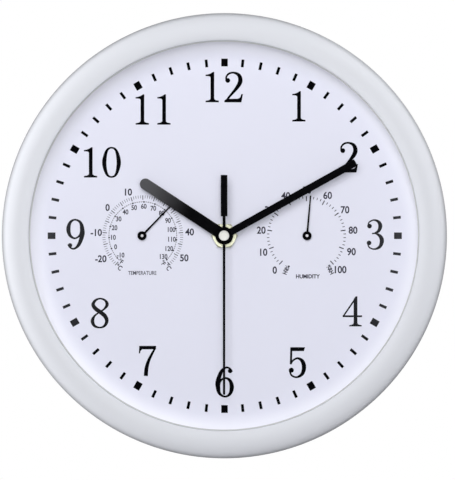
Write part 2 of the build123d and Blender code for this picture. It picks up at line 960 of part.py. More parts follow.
def setting_knob():
    knob_front = movement_rear - knob_gap
    knob_rear = knob_front - knob_thickness
    flutes = toothed(knob_flutes, knob_radius, knob_radius - knob_flute_depth, knob_ridge_share)
    grip = Pos(0, 0, knob_rear) * extrude(flutes, amount=knob_thickness)
    pinion_rear = motion_wheel_rear - pinion_overrun
    pinion_front = motion_wheel_rear + wheel_thickness + pinion_overrun
    pinion = gear(
        knob_pinion_teeth, motion_module, pinion_rear, pinion_front, knob_pinion_phase
    )
    arbor = disc(knob_arbor_radius, knob_front, pinion_front)
    return at(knob_place, grip + arbor + pinion)


def straight_hand(length, width, rear, thickness):
    """Bar from the axis upwards with a round tip."""
    bar = Pos(0, (length - width / 2) / 2) * Rectangle(width, length - width / 2)
    tip = Pos(0, length - width / 2) * Circle(width / 2)
    return Pos(0, 0, rear) * extrude(bar + tip, amount=thickness)


def hour_hand():
    plate_rear = hour_hand_rear + (hub_thickness - hand_thickness) / 2
    bar = straight_hand(hour_hand_length, hour_hand_width, plate_rear, hand_thickness)
    hub = disc(hour_hand_hub_radius, hour_hand_rear, hour_hand_rear + hub_thickness)
    hand = bar + hub - disc(hour_pipe_radius, hour_hand_rear, hour_hand_rear + hub_thickness)
    return Rot(0, 0, -hour_hand_angle) * hand


def minute_hand():
    hub_front = minute_hand_rear + hub_thickness
    plate_rear = minute_hand_rear + (hub_thickness - hand_thickness) / 2
    bar = straight_hand(minute_hand_length, minute_hand_width, plate_rear, hand_thickness)
    boss = turned(
        [
            (0, minute_hand_rear),
            (minute_hand_boss_radius, minute_hand_rear),
            (minute_hand_boss_radius, minute_hand_rear + hub_thickness / 2),
            (minute_hand_boss_top_radius, hub_front),
            (0, hub_front),
        ]
    )
    hand = bar + boss - disc(minute_pipe_radius, minute_hand_rear, hub_front)
    return Rot(0, 0, -minute_hand_angle) * hand


def second_hand():
    front = second_hand_rear + second_hand_thickness
    blade = block(
        -second_hand_width / 2, second_hand_width / 2, 0, second_hand_length, second_hand_rear, front
    )
    neck = block(
        -second_neck_width / 2, second_neck_width / 2, -second_neck_length, 0, second_hand_rear, front
    )
    tail = block(
        -second_tail_width / 2,
        second_tail_width / 2,
        -second_tail_length,
        -second_neck_length,
        second_hand_rear,
        front,
    )
    hub = disc(second_hand_hub_radius, second_hand_rear - second_hub_drop, front)
    bore = disc(second_arbor_radius, second_hand_rear - second_hub_drop, front)
    return Rot(0, 0, -second_hand_angle) * (blade + neck + tail + hub - bore)


def second_hand_cap():
    rear = second_hand_rear + second_hand_thickness
    front = rear + cap_thickness
    body = turned(
        [
            (0, rear),
            (cap_radius, rear),
            (cap_radius, front - cap_round),
            (cap_radius - cap_round, front),
            (0, front),
        ]
    )
    return body - disc(second_arbor_radius, rear, rear + cap_seat_depth)


def gauge_frame():
    """Open cage glued behind the dial; its neck carries the spindle through the dial."""
    rear = dial_rear - gauge_frame_depth
    spoke_front = rear + gauge_plate_thickness
    plate_rear = dial_rear - gauge_plate_thickness
    neck_front = dial_front + neck_height
    leg_outer = gauge_frame_radius - gauge_frame_wall / 2
    leg_inner = leg_outer - gauge_frame_wall
    leg = block(leg_inner, leg_outer, -leg_width / 2, leg_width / 2, rear, plate_rear)
    spoke = block(0, leg_inner, -spoke_width / 2, spoke_width / 2, rear, spoke_front)
    plate = disc(gauge_frame_radius, plate_rear, dial_rear)
    neck = disc(instrument_hole_radius - neck_hole_clearance, dial_rear, neck_front)
    hub = disc(spoke_hub_radius, rear, spoke_front)
    arms = around(leg_count, leg + spoke, start=180 / leg_count)
    bore_radius = spindle_radius + running_clearance
    bores = disc(bore_radius, plate_rear, neck_front) + disc(bore_radius, rear, spoke_front)
    return plate + arms + neck + hub - bores


def gauge_spindle():
    rear = dial_rear - gauge_frame_depth
    front = dial_front + pointer_rise + neck_height + pointer_hub_thickness + spindle_above_pointer
    collar_rear = rear + gauge_plate_thickness + running_clearance
    collar = disc(collar_radius, collar_rear, collar_rear + collar_thickness)
    return disc(spindle_radius, rear, front) + collar


def gauge_coil():
    """Flat spiral strip of half turns, with its outer end led to the cage's wall."""
    level = dial_rear - gauge_frame_depth + gauge_plate_thickness + collar_thickness / 2
    inner_radius = collar_radius + coil_inner_gap
    strip = []
    for index in range(coil_half_turns):
        radius = inner_radius + (index + 0.5) * coil_turn_pitch / 2
        side = 1 if index % 2 == 0 else -1
        place = Pos(side * coil_turn_pitch / 4, 0)
        half = Circle(radius + coil_strip_thickness) - Circle(radius)
        keep = Pos(0, side * 2 * radius) * Rectangle(4 * radius, 4 * radius)
        strip.append(place * (half & keep))
    outer_radius = inner_radius + coil_half_turns * coil_turn_pitch / 2
    lead = block(
        3 * gauge_frame_wall / 2 - gauge_frame_radius,
        -outer_radius,
        -coil_strip_thickness,
        0,
        level - coil_strip_width / 2,
        level + coil_strip_width / 2,
    )
    spiral = Sketch() + strip
    body = Pos(0, 0, level - coil_strip_width / 2) * extrude(spiral, amount=coil_strip_width)
    return body + lead


def gauge_pointer():
    hub_rear = dial_front + neck_height + pointer_rise
    hub = ring(pointer_hub_radius, spindle_radius, hub_rear, hub_rear + pointer_hub_thickness)
    needle = make_face(
        Polyline(
            (-pointer_root_width / 2, spindle_radius),
            (-pointer_tip_width / 2, pointer_length),
            (pointer_tip_width / 2, pointer_length),
            (pointer_root_width / 2, spindle_radius),
            close=True,
        )
    )
    level = hub_rear + (pointer_hub_thickness - pointer_thickness) / 2
    blade = Pos(0, 0, level) * extrude(needle, amount=pointer_thickness)
    return hub + (blade - disc(spindle_radius, hub_rear, hub_rear + pointer_hub_thickness))


def gauge(side, angle):
    """The pieces of one instrument, left (-1) or right (1) of the clock's axis."""
    place = (side * instrument_offset, 0)
    return {
        "frame": at(place, gauge_frame()),
        "coil": at(place, gauge_coil()),
        "spindle": at(place, gauge_spindle()),
        "pointer": at(place, Rot(0, 0, -angle) * gauge_pointer()),
    }


pieces = {
    "front_bezel": front_bezel(),
    "lens_seal": lens_seal(),
    "lens_glass": lens_glass(),
    "dial_spacer_ring": dial_spacer_ring(),
    "dial_plate": dial_plate(),
    "back_case": back_case(),
    "case_screws": case_screws(),
    "movement_front_case": movement_front_case(),
    "movement_rear_cover": movement_rear_cover(),
    "middle_plate": middle_plate(),
    "threaded_bush": threaded_bush(),
    "rubber_washer": rubber_washer(),
    "dial_washer": dial_washer(),
    "shaft_nut": shaft_nut(),
    "circuit_board": circuit_board(),
    "quartz_crystal": quartz_crystal(),
    "battery_cell": battery_cell(),
    "battery_contact_positive": battery_contact_positive(),
    "battery_contact_negative": battery_contact_negative(),
    "motor_stator": motor_stator(),
    "coil_core": coil_core(),
    "motor_coil": motor_coil(),
    "rotor": rotor(),
    "fifth_wheel": fifth_wheel(),
    "second_wheel": second_wheel(),
    "third_wheel": third_wheel(),
    "centre_wheel": centre_wheel(),
    "minute_pipe": minute_pipe(),
    "motion_wheel": motion_wheel(),
    "hour_wheel": hour_wheel(),
    "setting_knob": setting_knob(),
    "hour_hand": hour_hand(),
    "minute_hand": minute_hand(),
    "second_hand": second_hand(),
    "second_hand_cap": second_hand_cap(),
}
gauges = {"thermometer": gauge(-1, thermometer_angle), "hygrometer": gauge(1, hygrometer_angle)}
for gauge_name, gauge_pieces in gauges.items():
    for piece_name, piece in gauge_pieces.items():
        pieces[f"{gauge_name}_{piece_name}"] = piece

os.makedirs("parts", exist_ok=True)
for name, piece in pieces.items():
    export_step(Plane.XZ * piece, f"parts/{name}.step")
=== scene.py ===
import json
import math

import bmesh
import bpy
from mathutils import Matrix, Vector
from mathutils.geometry import delaunay_2d_cdt


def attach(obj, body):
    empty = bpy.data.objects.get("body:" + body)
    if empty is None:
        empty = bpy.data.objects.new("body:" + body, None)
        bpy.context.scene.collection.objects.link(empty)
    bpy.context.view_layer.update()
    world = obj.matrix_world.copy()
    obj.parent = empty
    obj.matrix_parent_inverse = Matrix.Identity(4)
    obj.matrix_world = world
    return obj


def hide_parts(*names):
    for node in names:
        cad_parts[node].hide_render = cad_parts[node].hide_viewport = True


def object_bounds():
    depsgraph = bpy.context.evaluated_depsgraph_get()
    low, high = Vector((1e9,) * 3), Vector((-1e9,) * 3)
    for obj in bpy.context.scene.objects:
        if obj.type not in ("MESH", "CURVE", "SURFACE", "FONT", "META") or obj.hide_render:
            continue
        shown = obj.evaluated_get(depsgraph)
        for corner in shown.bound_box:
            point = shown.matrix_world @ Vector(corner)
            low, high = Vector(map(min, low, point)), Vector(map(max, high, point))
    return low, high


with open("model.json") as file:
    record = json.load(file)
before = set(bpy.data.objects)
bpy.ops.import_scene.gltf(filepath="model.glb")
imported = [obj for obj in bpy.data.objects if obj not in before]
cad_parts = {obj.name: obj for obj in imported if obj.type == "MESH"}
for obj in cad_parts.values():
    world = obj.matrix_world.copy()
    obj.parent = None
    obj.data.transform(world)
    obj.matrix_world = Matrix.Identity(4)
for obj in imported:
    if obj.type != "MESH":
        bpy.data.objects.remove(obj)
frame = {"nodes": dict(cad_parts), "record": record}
cad_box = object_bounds()
nodes = frame["nodes"]


# Driving dimensions in mm, of which RIM and CREST come from the frame
# A level is a height above the wall that the clock hangs on.

MM = 0.001                              # in metres
RIM = round(cad_box[1][0] / MM, 3)      # the clock's radius
CREST = round(-cad_box[0][1] / MM, 3)   # level of the bezel's highest point
LIP_LOW = 36.0                          # level of the underside of the bezel's lip
LENS_R = 112.3
LENS_LOW, LENS_TOP = 33.5, 35.5
DIAL = 22.0                             # level of the dial's face
INK, SUNK = 0.02, 0.01                  # how far the print stands proud of the dial and reaches into it
GAUGE_X = 46.5                          # how far the gauges' spindles stand from the middle
PINHOLE, SMALL_PINHOLE = 0.001, 0.0005  # radius left open on the axis, in the lens and in the small parts


def place(x, y, level):
    """A point of the clock: x to the right, y up, level from the wall towards the viewer."""
    return Vector((x * MM, -level * MM, y * MM))


def polar(radius, clockwise, x=0.0, y=0.0):
    """The point at a distance from (x, y), so many degrees clockwise from the upright."""
    angle = math.radians(clockwise)
    return x + radius * math.sin(angle), y + radius * math.cos(angle)


# Materials

RELIEF_SHARE = 0.05                     # height of a grain, as a share of its size, where none is given
FINE_DETAIL, BROAD_DETAIL = 3.0, 2.0


def node(tree, kind, inputs=None, **settings):
    """A new shader node; its inputs are values, or sockets to link from."""
    made = tree.nodes.new(kind)
    for key, value in settings.items():
        setattr(made, key, value)
    for key, value in (inputs or {}).items():
        if isinstance(value, bpy.types.NodeSocket):
            tree.links.new(value, made.inputs[key])
        else:
            made.inputs[key].default_value = value
    return made


def worked_out(tree, operation, *values):
    """The result of an operation on numbers."""
    return node(tree, "ShaderNodeMath", dict(enumerate(values)), operation=operation).outputs[0]


def vector_worked_out(tree, operation, *values, output="Vector"):
    """The result of an operation on vectors."""
    return node(tree, "ShaderNodeVectorMath", dict(enumerate(values)), operation=operation).outputs[output]


def ranged(tree, value, low, high):
    """A value from 0 to 1, spread between two others."""
    return node(tree, "ShaderNodeMapRange", {"Value": value, "To Min": low, "To Max": high}).outputs[0]


def stepped(tree, value, low, high):
    """A smooth step from 0 to 1 between two values."""
    return node(tree, "ShaderNodeMapRange", {"Value": value, "From Min": low, "From Max": high},
                interpolation_type="SMOOTHSTEP").outputs[0]


def blended(tree, factor, first, second):
    """A mix of two colours, each a colour or a socket."""
    return node(tree, "ShaderNodeMix", {"Factor": factor, 6: first, 7: second}, data_type="RGBA").outputs[2]


def srgb(r, g, b):
    """A colour given in levels from 0 to 255, as a shader takes it."""
    def linear(level):
        share = level / 255
        return share / 12.92 if share <= 0.04045 else ((share + 0.055) / 1.055) ** 2.4
    return linear(r), linear(g), linear(b), 1.0


def coordinates(tree):
    """The clock's own coordinates, in metres: x to the right, z up."""
    return node(tree, "ShaderNodeTexCoord").outputs["Object"]


def stretched(tree, scale):
    """Coordinates in mm, divided by scale along each axis."""
    return vector_worked_out(tree, "MULTIPLY", coordinates(tree), [1 / MM / s for s in scale])


def from_axis(tree, spacing):
    """Distance from the axis of the hands, in units of spacing."""
    flat = vector_worked_out(tree, "MULTIPLY", coordinates(tree), (1, 0, 1))
    far = vector_worked_out(tree, "LENGTH", flat, output="Value")
    return worked_out(tree, "MULTIPLY", far, 1 / MM / spacing)


def turned_away(tree):
    """0 where a surface faces the eye, 1 at its outline."""
    return node(tree, "ShaderNodeLayerWeight", {"Blend": 0.5}).outputs["Facing"]


def noise(tree, at, detail, dimensions="3D"):
    """A noise with values of about 0.5 and features of size 1, at a point or, in 1D, at a distance."""
    entry = "W" if dimensions == "1D" else "Vector"
    return node(tree, "ShaderNodeTexNoise", {entry: at, "Scale": 1.0, "Detail": detail},
                noise_dimensions=dimensions).outputs["Fac"]


def finish(name, dark, light, rough, grain=1.0, bump=0.1, metal=0.0, relief=None, cloud=30.0,
           rings=None, stretch=(1, 1, 1), **uniform):
    """A surface between two close colours, with a fine grain in colour, roughness and height.
    Sizes are in mm: of the grain, of the clouds of shade, of the rings about the hands' axis, and of
    the grain's relief. rough is a (low, high) pair, and stretch draws the grain out along each axis."""
    material = bpy.data.materials.new(name)
    material.use_nodes = True
    tree = material.node_tree
    shader = tree.nodes["Principled BSDF"]
    shader.inputs["Metallic"].default_value = metal
    for key, value in uniform.items():
        shader.inputs[key.replace("_", " ")].default_value = value
    height = noise(tree, stretched(tree, [grain * s for s in stretch]), FINE_DETAIL)
    if rings:
        turned = noise(tree, from_axis(tree, rings), BROAD_DETAIL, "1D")
        height = worked_out(tree, "MULTIPLY", worked_out(tree, "ADD", height, turned), 0.5)
    broad = noise(tree, stretched(tree, [cloud] * 3), BROAD_DETAIL)
    # The sum is mostly near 1, so the light colour leads and the dark one shows in its hollows.
    shade = worked_out(tree, "ADD", height, broad)
    colour = blended(tree, ranged(tree, shade, -0.5, 1.5), srgb(*dark), srgb(*light))
    tree.links.new(colour, shader.inputs["Base Color"])
    spread = 0.5 * (rough[1] - rough[0])
    tree.links.new(ranged(tree, shade, rough[0] - spread, rough[1] + spread), shader.inputs["Roughness"])
    raised = node(tree, "ShaderNodeBump", {"Height": height, "Strength": bump,
                                           "Distance": (relief or RELIEF_SHARE * grain) * MM})
    tree.links.new(raised.outputs["Normal"], shader.inputs["Normal"])
    return material


def shaded(material, factor, shade):
    """Mixes a material's colour towards another shade, by a factor socket of its own tree."""
    tree = material.node_tree
    base = tree.nodes["Principled BSDF"].inputs["Base Color"]
    tree.links.new(blended(tree, factor, base.links[0].from_socket, srgb(*shade)), base)
    return material


def lens_material():
    """Clear plastic: see-through from the front, with a sheen that grows towards a grazing view."""
    sharpness, strongest = 4.0, 0.5
    clear = finish("clear lens", (250, 250, 252), (255, 255, 255), (0.02, 0.05), grain=6.0, bump=0.02,
                   relief=0.002, metal=1.0)
    tree = clear.node_tree
    steep = worked_out(tree, "POWER", turned_away(tree), sharpness)
    sheen = worked_out(tree, "MULTIPLY", steep, strongest)
    tree.links.new(sheen, tree.nodes["Principled BSDF"].inputs["Alpha"])
    return clear


def hour_lacquer(tip_x, tip_y):
    """Black lacquer with a painted sheen: its colour greys towards the hand's tip in place of a lamp's
    reflection.
    """
    painted_sheen_from, painted_sheen_to = 0.38, 1.02     # in shares of the way to the tip
    lacquer = finish("hour hand lacquer", (1, 1, 2), (4, 4, 6), (0.3, 0.42), grain=0.5, bump=0.12,
                     cloud=12.0, Specular_IOR_Level=0.01)
    tree = lacquer.node_tree
    at = coordinates(tree)
    squared = (tip_x ** 2 + tip_y ** 2) * MM
    along = vector_worked_out(tree, "DOT_PRODUCT", at, (tip_x / squared, 0, tip_y / squared),
                              output="Value")
    # Painted sheen: the grey (84, 84, 87) stands in for a lamp's reflection near the tip.
    return shaded(lacquer, stepped(tree, along, painted_sheen_from, painted_sheen_to), (84, 84, 87))


def pearly_silver():
    """Satin silver paint, darker where it turns from the eye: the paint's flop, and painted shade on the
    rim's flank.
    """
    flop_and_shade_from, flop_and_shade_full = 0.3, 1.0     # how far the surface is turned away
    paint = finish("pearly silver paint", (208, 210, 216), (217, 219, 225), (0.56, 0.64), grain=0.25,
                   bump=0.06, cloud=60.0, Specular_IOR_Level=0.15)
    tree = paint.node_tree
    # Partly painted shade: the grey (135, 136, 140) darkens the rim's outer flank.
    return shaded(paint, stepped(tree, turned_away(tree), flop_and_shade_from, flop_and_shade_full), (135, 136, 140))


def dial_paper():
    """Pale lilac-white card, with painted light towards its rim that lifts the shade the bezel casts on it.
    """
    painted_light_from, painted_light_to = 100.0, 110.0       # radii in mm
    card = finish("dial face", (220, 221, 236), (223, 224, 238), (0.55, 0.65), grain=0.35, bump=0.05,
                  cloud=80.0, relief=0.01)
    tree = card.node_tree
    # Painted light: the card whitens to (239, 240, 250) near the rim, against the bezel's shadow.
    return shaded(card, stepped(tree, from_axis(tree, 1.0), painted_light_from, painted_light_to), (239, 240, 250))


def dial_ink():
    """Black print, paler at the left and right of the dial in a band just below its middle."""
    scale = 100.0                               # mm; the values below are in shares of it
    band_below, band_edge, band_core = 0.15, 0.6, 0.3
    print_ink = finish("dial ink", (1, 1, 2), (4, 4, 6), (0.4, 0.6), grain=0.3, bump=0.1, cloud=25.0,
                       Specular_IOR_Level=0.01)
    tree = print_ink.node_tree
    at = node(tree, "ShaderNodeSeparateXYZ", {0: stretched(tree, [scale] * 3)})
    sideways = worked_out(tree, "ABSOLUTE", at.outputs["X"])
    outwards = worked_out(tree, "POWER", sideways, 3.0)
    height = worked_out(tree, "ADD", at.outputs["Z"], band_below)
    apart = worked_out(tree, "ABSOLUTE", height)
    factor = worked_out(tree, "MULTIPLY", outwards, stepped(tree, apart, band_edge, band_core))
    return shaded(print_ink, factor, (58, 58, 62))


silver = pearly_silver()
# A real seal ring, whose pale grey also serves as painted shade: the thin shadow line at the lip's inner
# edge.
seal_rubber = finish("seal rubber", (182, 183, 184), (196, 197, 198), (0.6, 0.75), grain=0.4, bump=0.2)
dial_white = dial_paper()
ink = dial_ink()
fine_ink = finish("dial fine ink", (36, 36, 46), (58, 57, 70), (0.4, 0.6), grain=0.3, bump=0.1, cloud=8.0,
                  Specular_IOR_Level=0.05)
lens_clear = lens_material()
hand_black = finish("hand lacquer", (1, 1, 2), (4, 4, 6), (0.32, 0.45), grain=0.5, bump=0.12, cloud=12.0,
                    Specular_IOR_Level=0.01)
cap_silver = finish("cap satin metal", (108, 108, 105), (190, 190, 186), (0.45, 0.55), grain=1.2,
                    bump=0.4, metal=0.5, rings=0.8, cloud=2.0)
brass = finish("brass", (196, 160, 92), (222, 188, 122), (0.22, 0.38), grain=0.3, bump=0.15, metal=1.0,
               cloud=4.0, rings=0.15)
pale_brass = finish("pale plated brass", (126, 127, 108), (174, 175, 154), (0.34, 0.46), grain=0.6,
                    bump=0.4, metal=0.9, cloud=2.0, rings=0.5)
steel = finish("steel", (150, 152, 156), (178, 180, 184), (0.25, 0.4), grain=0.2, bump=0.15, metal=1.0,
               stretch=(1, 1, 12))
zinc = finish("zinc plate", (176, 178, 182), (206, 208, 212), (0.28, 0.42), grain=0.25, bump=0.2,
              metal=1.0, cloud=3.0)
white_plastic = finish("white moulding", (222, 222, 220), (234, 234, 232), (0.42, 0.58), grain=0.6,
                       bump=0.25, relief=0.04, cloud=50.0)
black_plastic = finish("black moulding", (20, 20, 22), (34, 34, 37), (0.42, 0.6), grain=0.5, bump=0.35,
                       relief=0.04, cloud=20.0)
spindle_white = finish("spindle white", (206, 205, 210), (222, 221, 226), (0.45, 0.6), grain=0.2, bump=0.1)
copper = finish("copper wire", (168, 92, 50), (206, 124, 74), (0.25, 0.4), grain=0.3, bump=0.5, metal=1.0,
                relief=0.08, stretch=(6, 6, 0.5), cloud=4.0)
resin = finish("gear resin", (206, 200, 182), (226, 222, 206), (0.35, 0.5), grain=0.4, bump=0.15, cloud=6.0,
               Subsurface_Weight=0.08)
board = finish("circuit board", (30, 84, 46), (58, 122, 68), (0.3, 0.5), grain=0.8, bump=0.3, cloud=5.0,
               stretch=(1, 1, 5))
battery_sleeve = finish("battery sleeve", (38, 39, 43), (62, 63, 68), (0.22, 0.34), grain=0.6, bump=0.08,
                        metal=0.3, cloud=10.0, Coat_Weight=0.4, Coat_Roughness=0.1)
bimetal = finish("bimetal strip", (150, 116, 78), (196, 170, 128), (0.25, 0.4), grain=0.25, bump=0.2,
                 metal=1.0, stretch=(1, 8, 1), cloud=3.0)

SLOTS = {
    "silver_shell": silver,
    "seal_rubber": seal_rubber,
    "clear_lens": lens_clear,
    "dial_white": dial_white,
    "white_moulding": white_plastic,
    "zinc_screws": zinc,
    "black_moulding": black_plastic,
    "brass": brass,
    "board": board,
    "steel": steel,
    "battery_sleeve": battery_sleeve,
    "copper": copper,
    "gear_resin": resin,
    "hand_black": hand_black,
    "cap_silver": cap_silver,
    "spindle_white": spindle_white,
    "bimetal": bimetal,
}

for part in frame["record"]["subparts"]:
    for shown in nodes[part["node"]].material_slots:
        shown.material = SLOTS[part["material_slot"]]


# Shapes

ROUND_STEPS = 16
BEVEL_SEGMENTS, BEVEL_ANGLE = 2, 40         # the angle in degrees
INSIDE_ONLY, MERGED_WITHIN = 1, 1e-5        # what the triangulation keeps, and its tolerance in mm
FLAT_WITHIN = 0.002                         # in radians


def piece(name, solid, material, body, slot, *replaced, smooth=35):
    """A finished piece that rides on a body, in the place of the CAD solids that it replaces.
    smooth is the angle in degrees up to which its faces blend."""
    mesh = bpy.data.meshes.new(name)
    bmesh.ops.recalc_face_normals(solid, faces=solid.faces)
    solid.to_mesh(mesh)
    solid.free()
    mesh.materials.append(material)
    mesh.polygons.foreach_set("use_smooth", [True] * len(mesh.polygons))
    mesh.set_sharp_from_angle(angle=math.radians(smooth))
    made = bpy.data.objects.new(name, mesh)
    bpy.context.scene.collection.objects.link(made)
    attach(made, body)
    if replaced:
        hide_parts(*replaced)
    return made


def bevelled(made, width):
    """Rounds the sharp edges of a piece."""
    soft = made.modifiers.new("soft edge", "BEVEL")
    soft.width = width * MM
    soft.segments = BEVEL_SEGMENTS
    soft.limit_method = "ANGLE"
    soft.angle_limit = math.radians(BEVEL_ANGLE)
    soft.harden_normals = True


def joined(solid, rows):
    """Faces between each closed row of points and the next, all the way round."""
    count = len(rows[0])
    for row, after in zip(rows, rows[1:] + rows[:1]):
        for i in range(count):
            j = (i + 1) % count
            solid.faces.new((row[i], row[j], after[j], after[i]))


def lathe(profile, segments, x=0.0, y=0.0, into=None):
    """A closed profile of (radius, level) points turned about an axis through (x, y)."""
    solid = into or bmesh.new()
    rows = []
    for k in range(segments):
        angle = 360 * k / segments
        rows.append([solid.verts.new(place(*polar(r, angle, x, y), level)) for r, level in profile])
    joined(solid, rows)
    return solid


def arc(radius, level, size, start, end, steps):
    """An arc of a profile about (radius, level); angles in degrees, 0 outwards and 90 to the viewer."""
    angles = [math.radians(start + (end - start) * k / steps) for k in range(steps + 1)]
    return [(radius + size * math.cos(angle), level + size * math.sin(angle)) for angle in angles]


def tube(inner, outer, low, high, cut=0.0):
    """Profile of a tube between two radii and two levels, with its upper outer edge cut off."""
    edge = [(outer, high - cut), (outer - cut, high)] if cut else [(outer, high)]
    return [(inner, low), (outer, low), *edge, (inner, high)]


def signed_area(shape):
    """Twice a polygon's area, negative where its points run clockwise."""
    return sum(a[0] * b[1] - b[0] * a[1] for a, b in zip(shape, shape[1:] + shape[:1]))


def union(shapes):
    """One flat mesh from overlapping flat polygons, each a list of (x, y) points in mm."""
    points, faces = [], []
    for shape in shapes:
        start = len(points)
        points += [Vector(p) for p in (shape if signed_area(shape) > 0 else shape[::-1])]
        faces.append(list(range(start, start + len(shape))))
    made_points, _, made_faces, _, _, origins = delaunay_2d_cdt(points, [], faces, INSIDE_ONLY, MERGED_WITHIN)
    inside = [face for face, origin in zip(made_faces, origins) if origin]
    return [tuple(p) for p in made_points], inside


def slab(flats, low, high):
    """Flat meshes (points, faces) thickened from one level to another."""
    solid = bmesh.new()
    for points, faces in flats:
        bottom = [solid.verts.new(place(x, y, low)) for x, y in points]
        top = [solid.verts.new(place(x, y, high)) for x, y in points]
        for face in faces:
            solid.faces.new([top[i] for i in face])
            solid.faces.new([bottom[i] for i in reversed(face)])
        edges = dict.fromkeys((i, j) for face in faces for i, j in zip(face, face[1:] + face[:1]))
        for i, j in edges:
            if (j, i) not in edges:
                solid.faces.new((top[j], top[i], bottom[i], bottom[j]))
        for loose in [v for v in bottom + top if not v.link_faces]:
            solid.verts.remove(loose)
    bmesh.ops.dissolve_limit(solid, angle_limit=FLAT_WITHIN, verts=solid.verts, edges=solid.edges)
    return solid


def bar(start, end, width, end_width=None, round_end=False):
    """A straight bar between two points. Where its end is round, its length includes the rounding."""
    start, end = Vector(start), Vector(end)
    along = (end - start).normalized()
    side = Vector((-along.y, along.x))
    half, end_half = width / 2, (end_width or width) / 2
    tip = [end - side * end_half, end + side * end_half]
    if round_end:
        centre = end - along * end_half
        angles = [math.pi * (k / ROUND_STEPS - 0.5) for k in range(ROUND_STEPS + 1)]
        tip = [centre + (along * end_half * math.cos(t) + side * end_half * math.sin(t)) for t in angles]
    return [tuple(p) for p in (*tip, start + side * half, start - side * half)]


def upright(low_half, low, high_half, high):
    """An upright strip about x = 0, between two heights, with half its width at each."""
    return [(-low_half, low), (low_half, low), (high_half, high), (-high_half, high)]


def ring_strip(outer, inner, start, end, steps, x):
    """Quads along a flat ring between two angles, about (x, 0)."""
    edge = []
    for k in range(steps + 1):
        angle = start + (end - start) * k / steps
        edge.append((polar(outer, angle, x), polar(inner, angle, x)))
    return [[a[0], b[0], b[1], a[1]] for a, b in zip(edge, edge[1:])]


def circle(radius, x=0.0, y=0.0, steps=48):
    """A round polygon about (x, y)."""
    return [polar(radius, 360 * k / steps, x, y) for k in range(steps)]


# Bezel

WALL = 2.2                                          # the bezel's thickness at its crown and side
CROWN_R, CROWN_LEVEL = 115.0, 30.0                  # centre of the crown's curve
CROWN_SIZE = RIM - CROWN_R
HOLLOW_SIZE = CROWN_SIZE - WALL
FOOT_R, FOOT_INNER_R, FOOT = 124.25, 122.02, 2.0    # the side wall's foot: two radii and its level
FOOT_CUT, FOOT_INNER_CUT = 0.3, (0.23, 0.25)        # its cut edges; the inner one by radius and level
LENS_COLLAR_R, LENS_COLLAR_INNER_R, LENS_COLLAR_LOW = 114.4, 112.6, 19.0
LIP_R, LIP_TOP = 109.2, 37.2
LIP_ROUND, LIP_LEAN = 1.2, 0.08
BOSS_CIRCLE, BOSS_R, BOSS_LOW, BOSS_HIGH = 118.2, 4.3, 8.0, 30.0
SCREW_HOLE_R, SCREW_HOLE_MOUTH_R, SCREW_HOLE_MOUTH_HIGH = 1.25, 1.6, 8.3
BOSSES, FIRST_BOSS, BOSS_SIDES = 4, 45, 40            # the second in degrees
RING_SIDES, LENS_SIDES = 288, 192
SLOPE_STEPS, CROWN_STEPS, HOLLOW_STEPS = 14, 24, 10
CROWN_FROM, HOLLOW_FROM = 88, 9                     # where their curves begin, in degrees


def bezel_profile():
    """The lip, its slope up to the crest, the crown, the side wall, the hollow and the lens's collar."""
    rise = CREST - LIP_TOP - LIP_ROUND
    run = CROWN_R - LIP_R - LIP_ROUND * 0.5
    slope_size = (rise ** 2 + run ** 2) / (2 * rise)
    slope_end = math.degrees(math.asin(run / slope_size))
    lip = [(LIP_R, LIP_LOW), (LIP_R, LIP_TOP), (LIP_R + LIP_LEAN, LIP_TOP + LIP_ROUND * 0.5)]
    slope = arc(CROWN_R, CREST - slope_size, slope_size, 90 + slope_end, 90, SLOPE_STEPS)
    crown = arc(CROWN_R, CROWN_LEVEL, CROWN_SIZE, CROWN_FROM, 0, CROWN_STEPS)
    foot = [(FOOT_R, FOOT + FOOT_CUT), (FOOT_R - FOOT_CUT, FOOT), (FOOT_INNER_R + FOOT_INNER_CUT[0], FOOT),
            (FOOT_INNER_R, FOOT + FOOT_INNER_CUT[1])]
    hollow = [(RIM - WALL, CROWN_LEVEL)]
    hollow += arc(CROWN_R, CROWN_LEVEL, HOLLOW_SIZE, HOLLOW_FROM, 90, HOLLOW_STEPS)
    collar = [(LENS_COLLAR_R, CROWN_LEVEL + HOLLOW_SIZE), (LENS_COLLAR_R, LENS_COLLAR_LOW),
              (LENS_COLLAR_INNER_R, LENS_COLLAR_LOW), (LENS_COLLAR_INNER_R, LIP_LOW)]
    return lip + slope + crown + foot + hollow + collar


bezel = lathe(bezel_profile(), RING_SIDES)
boss_profile = [(BOSS_R, BOSS_LOW), (BOSS_R, BOSS_HIGH), (SCREW_HOLE_R, BOSS_HIGH),
                (SCREW_HOLE_R, SCREW_HOLE_MOUTH_HIGH), (SCREW_HOLE_MOUTH_R, BOSS_LOW)]
for k in range(BOSSES):
    lathe(boss_profile, BOSS_SIDES, *polar(BOSS_CIRCLE, FIRST_BOSS + 360 / BOSSES * k), into=bezel)
piece("bezel", bezel, silver, "case", "silver_shell", "front_bezel")


# Seal, lens and spacer ring

EDGE = 0.1                                          # cut edges of the seal and the lens
SEAL_R = 108.6
SPACER_R, SPACER_OUTER_R = 110.2, 112.2

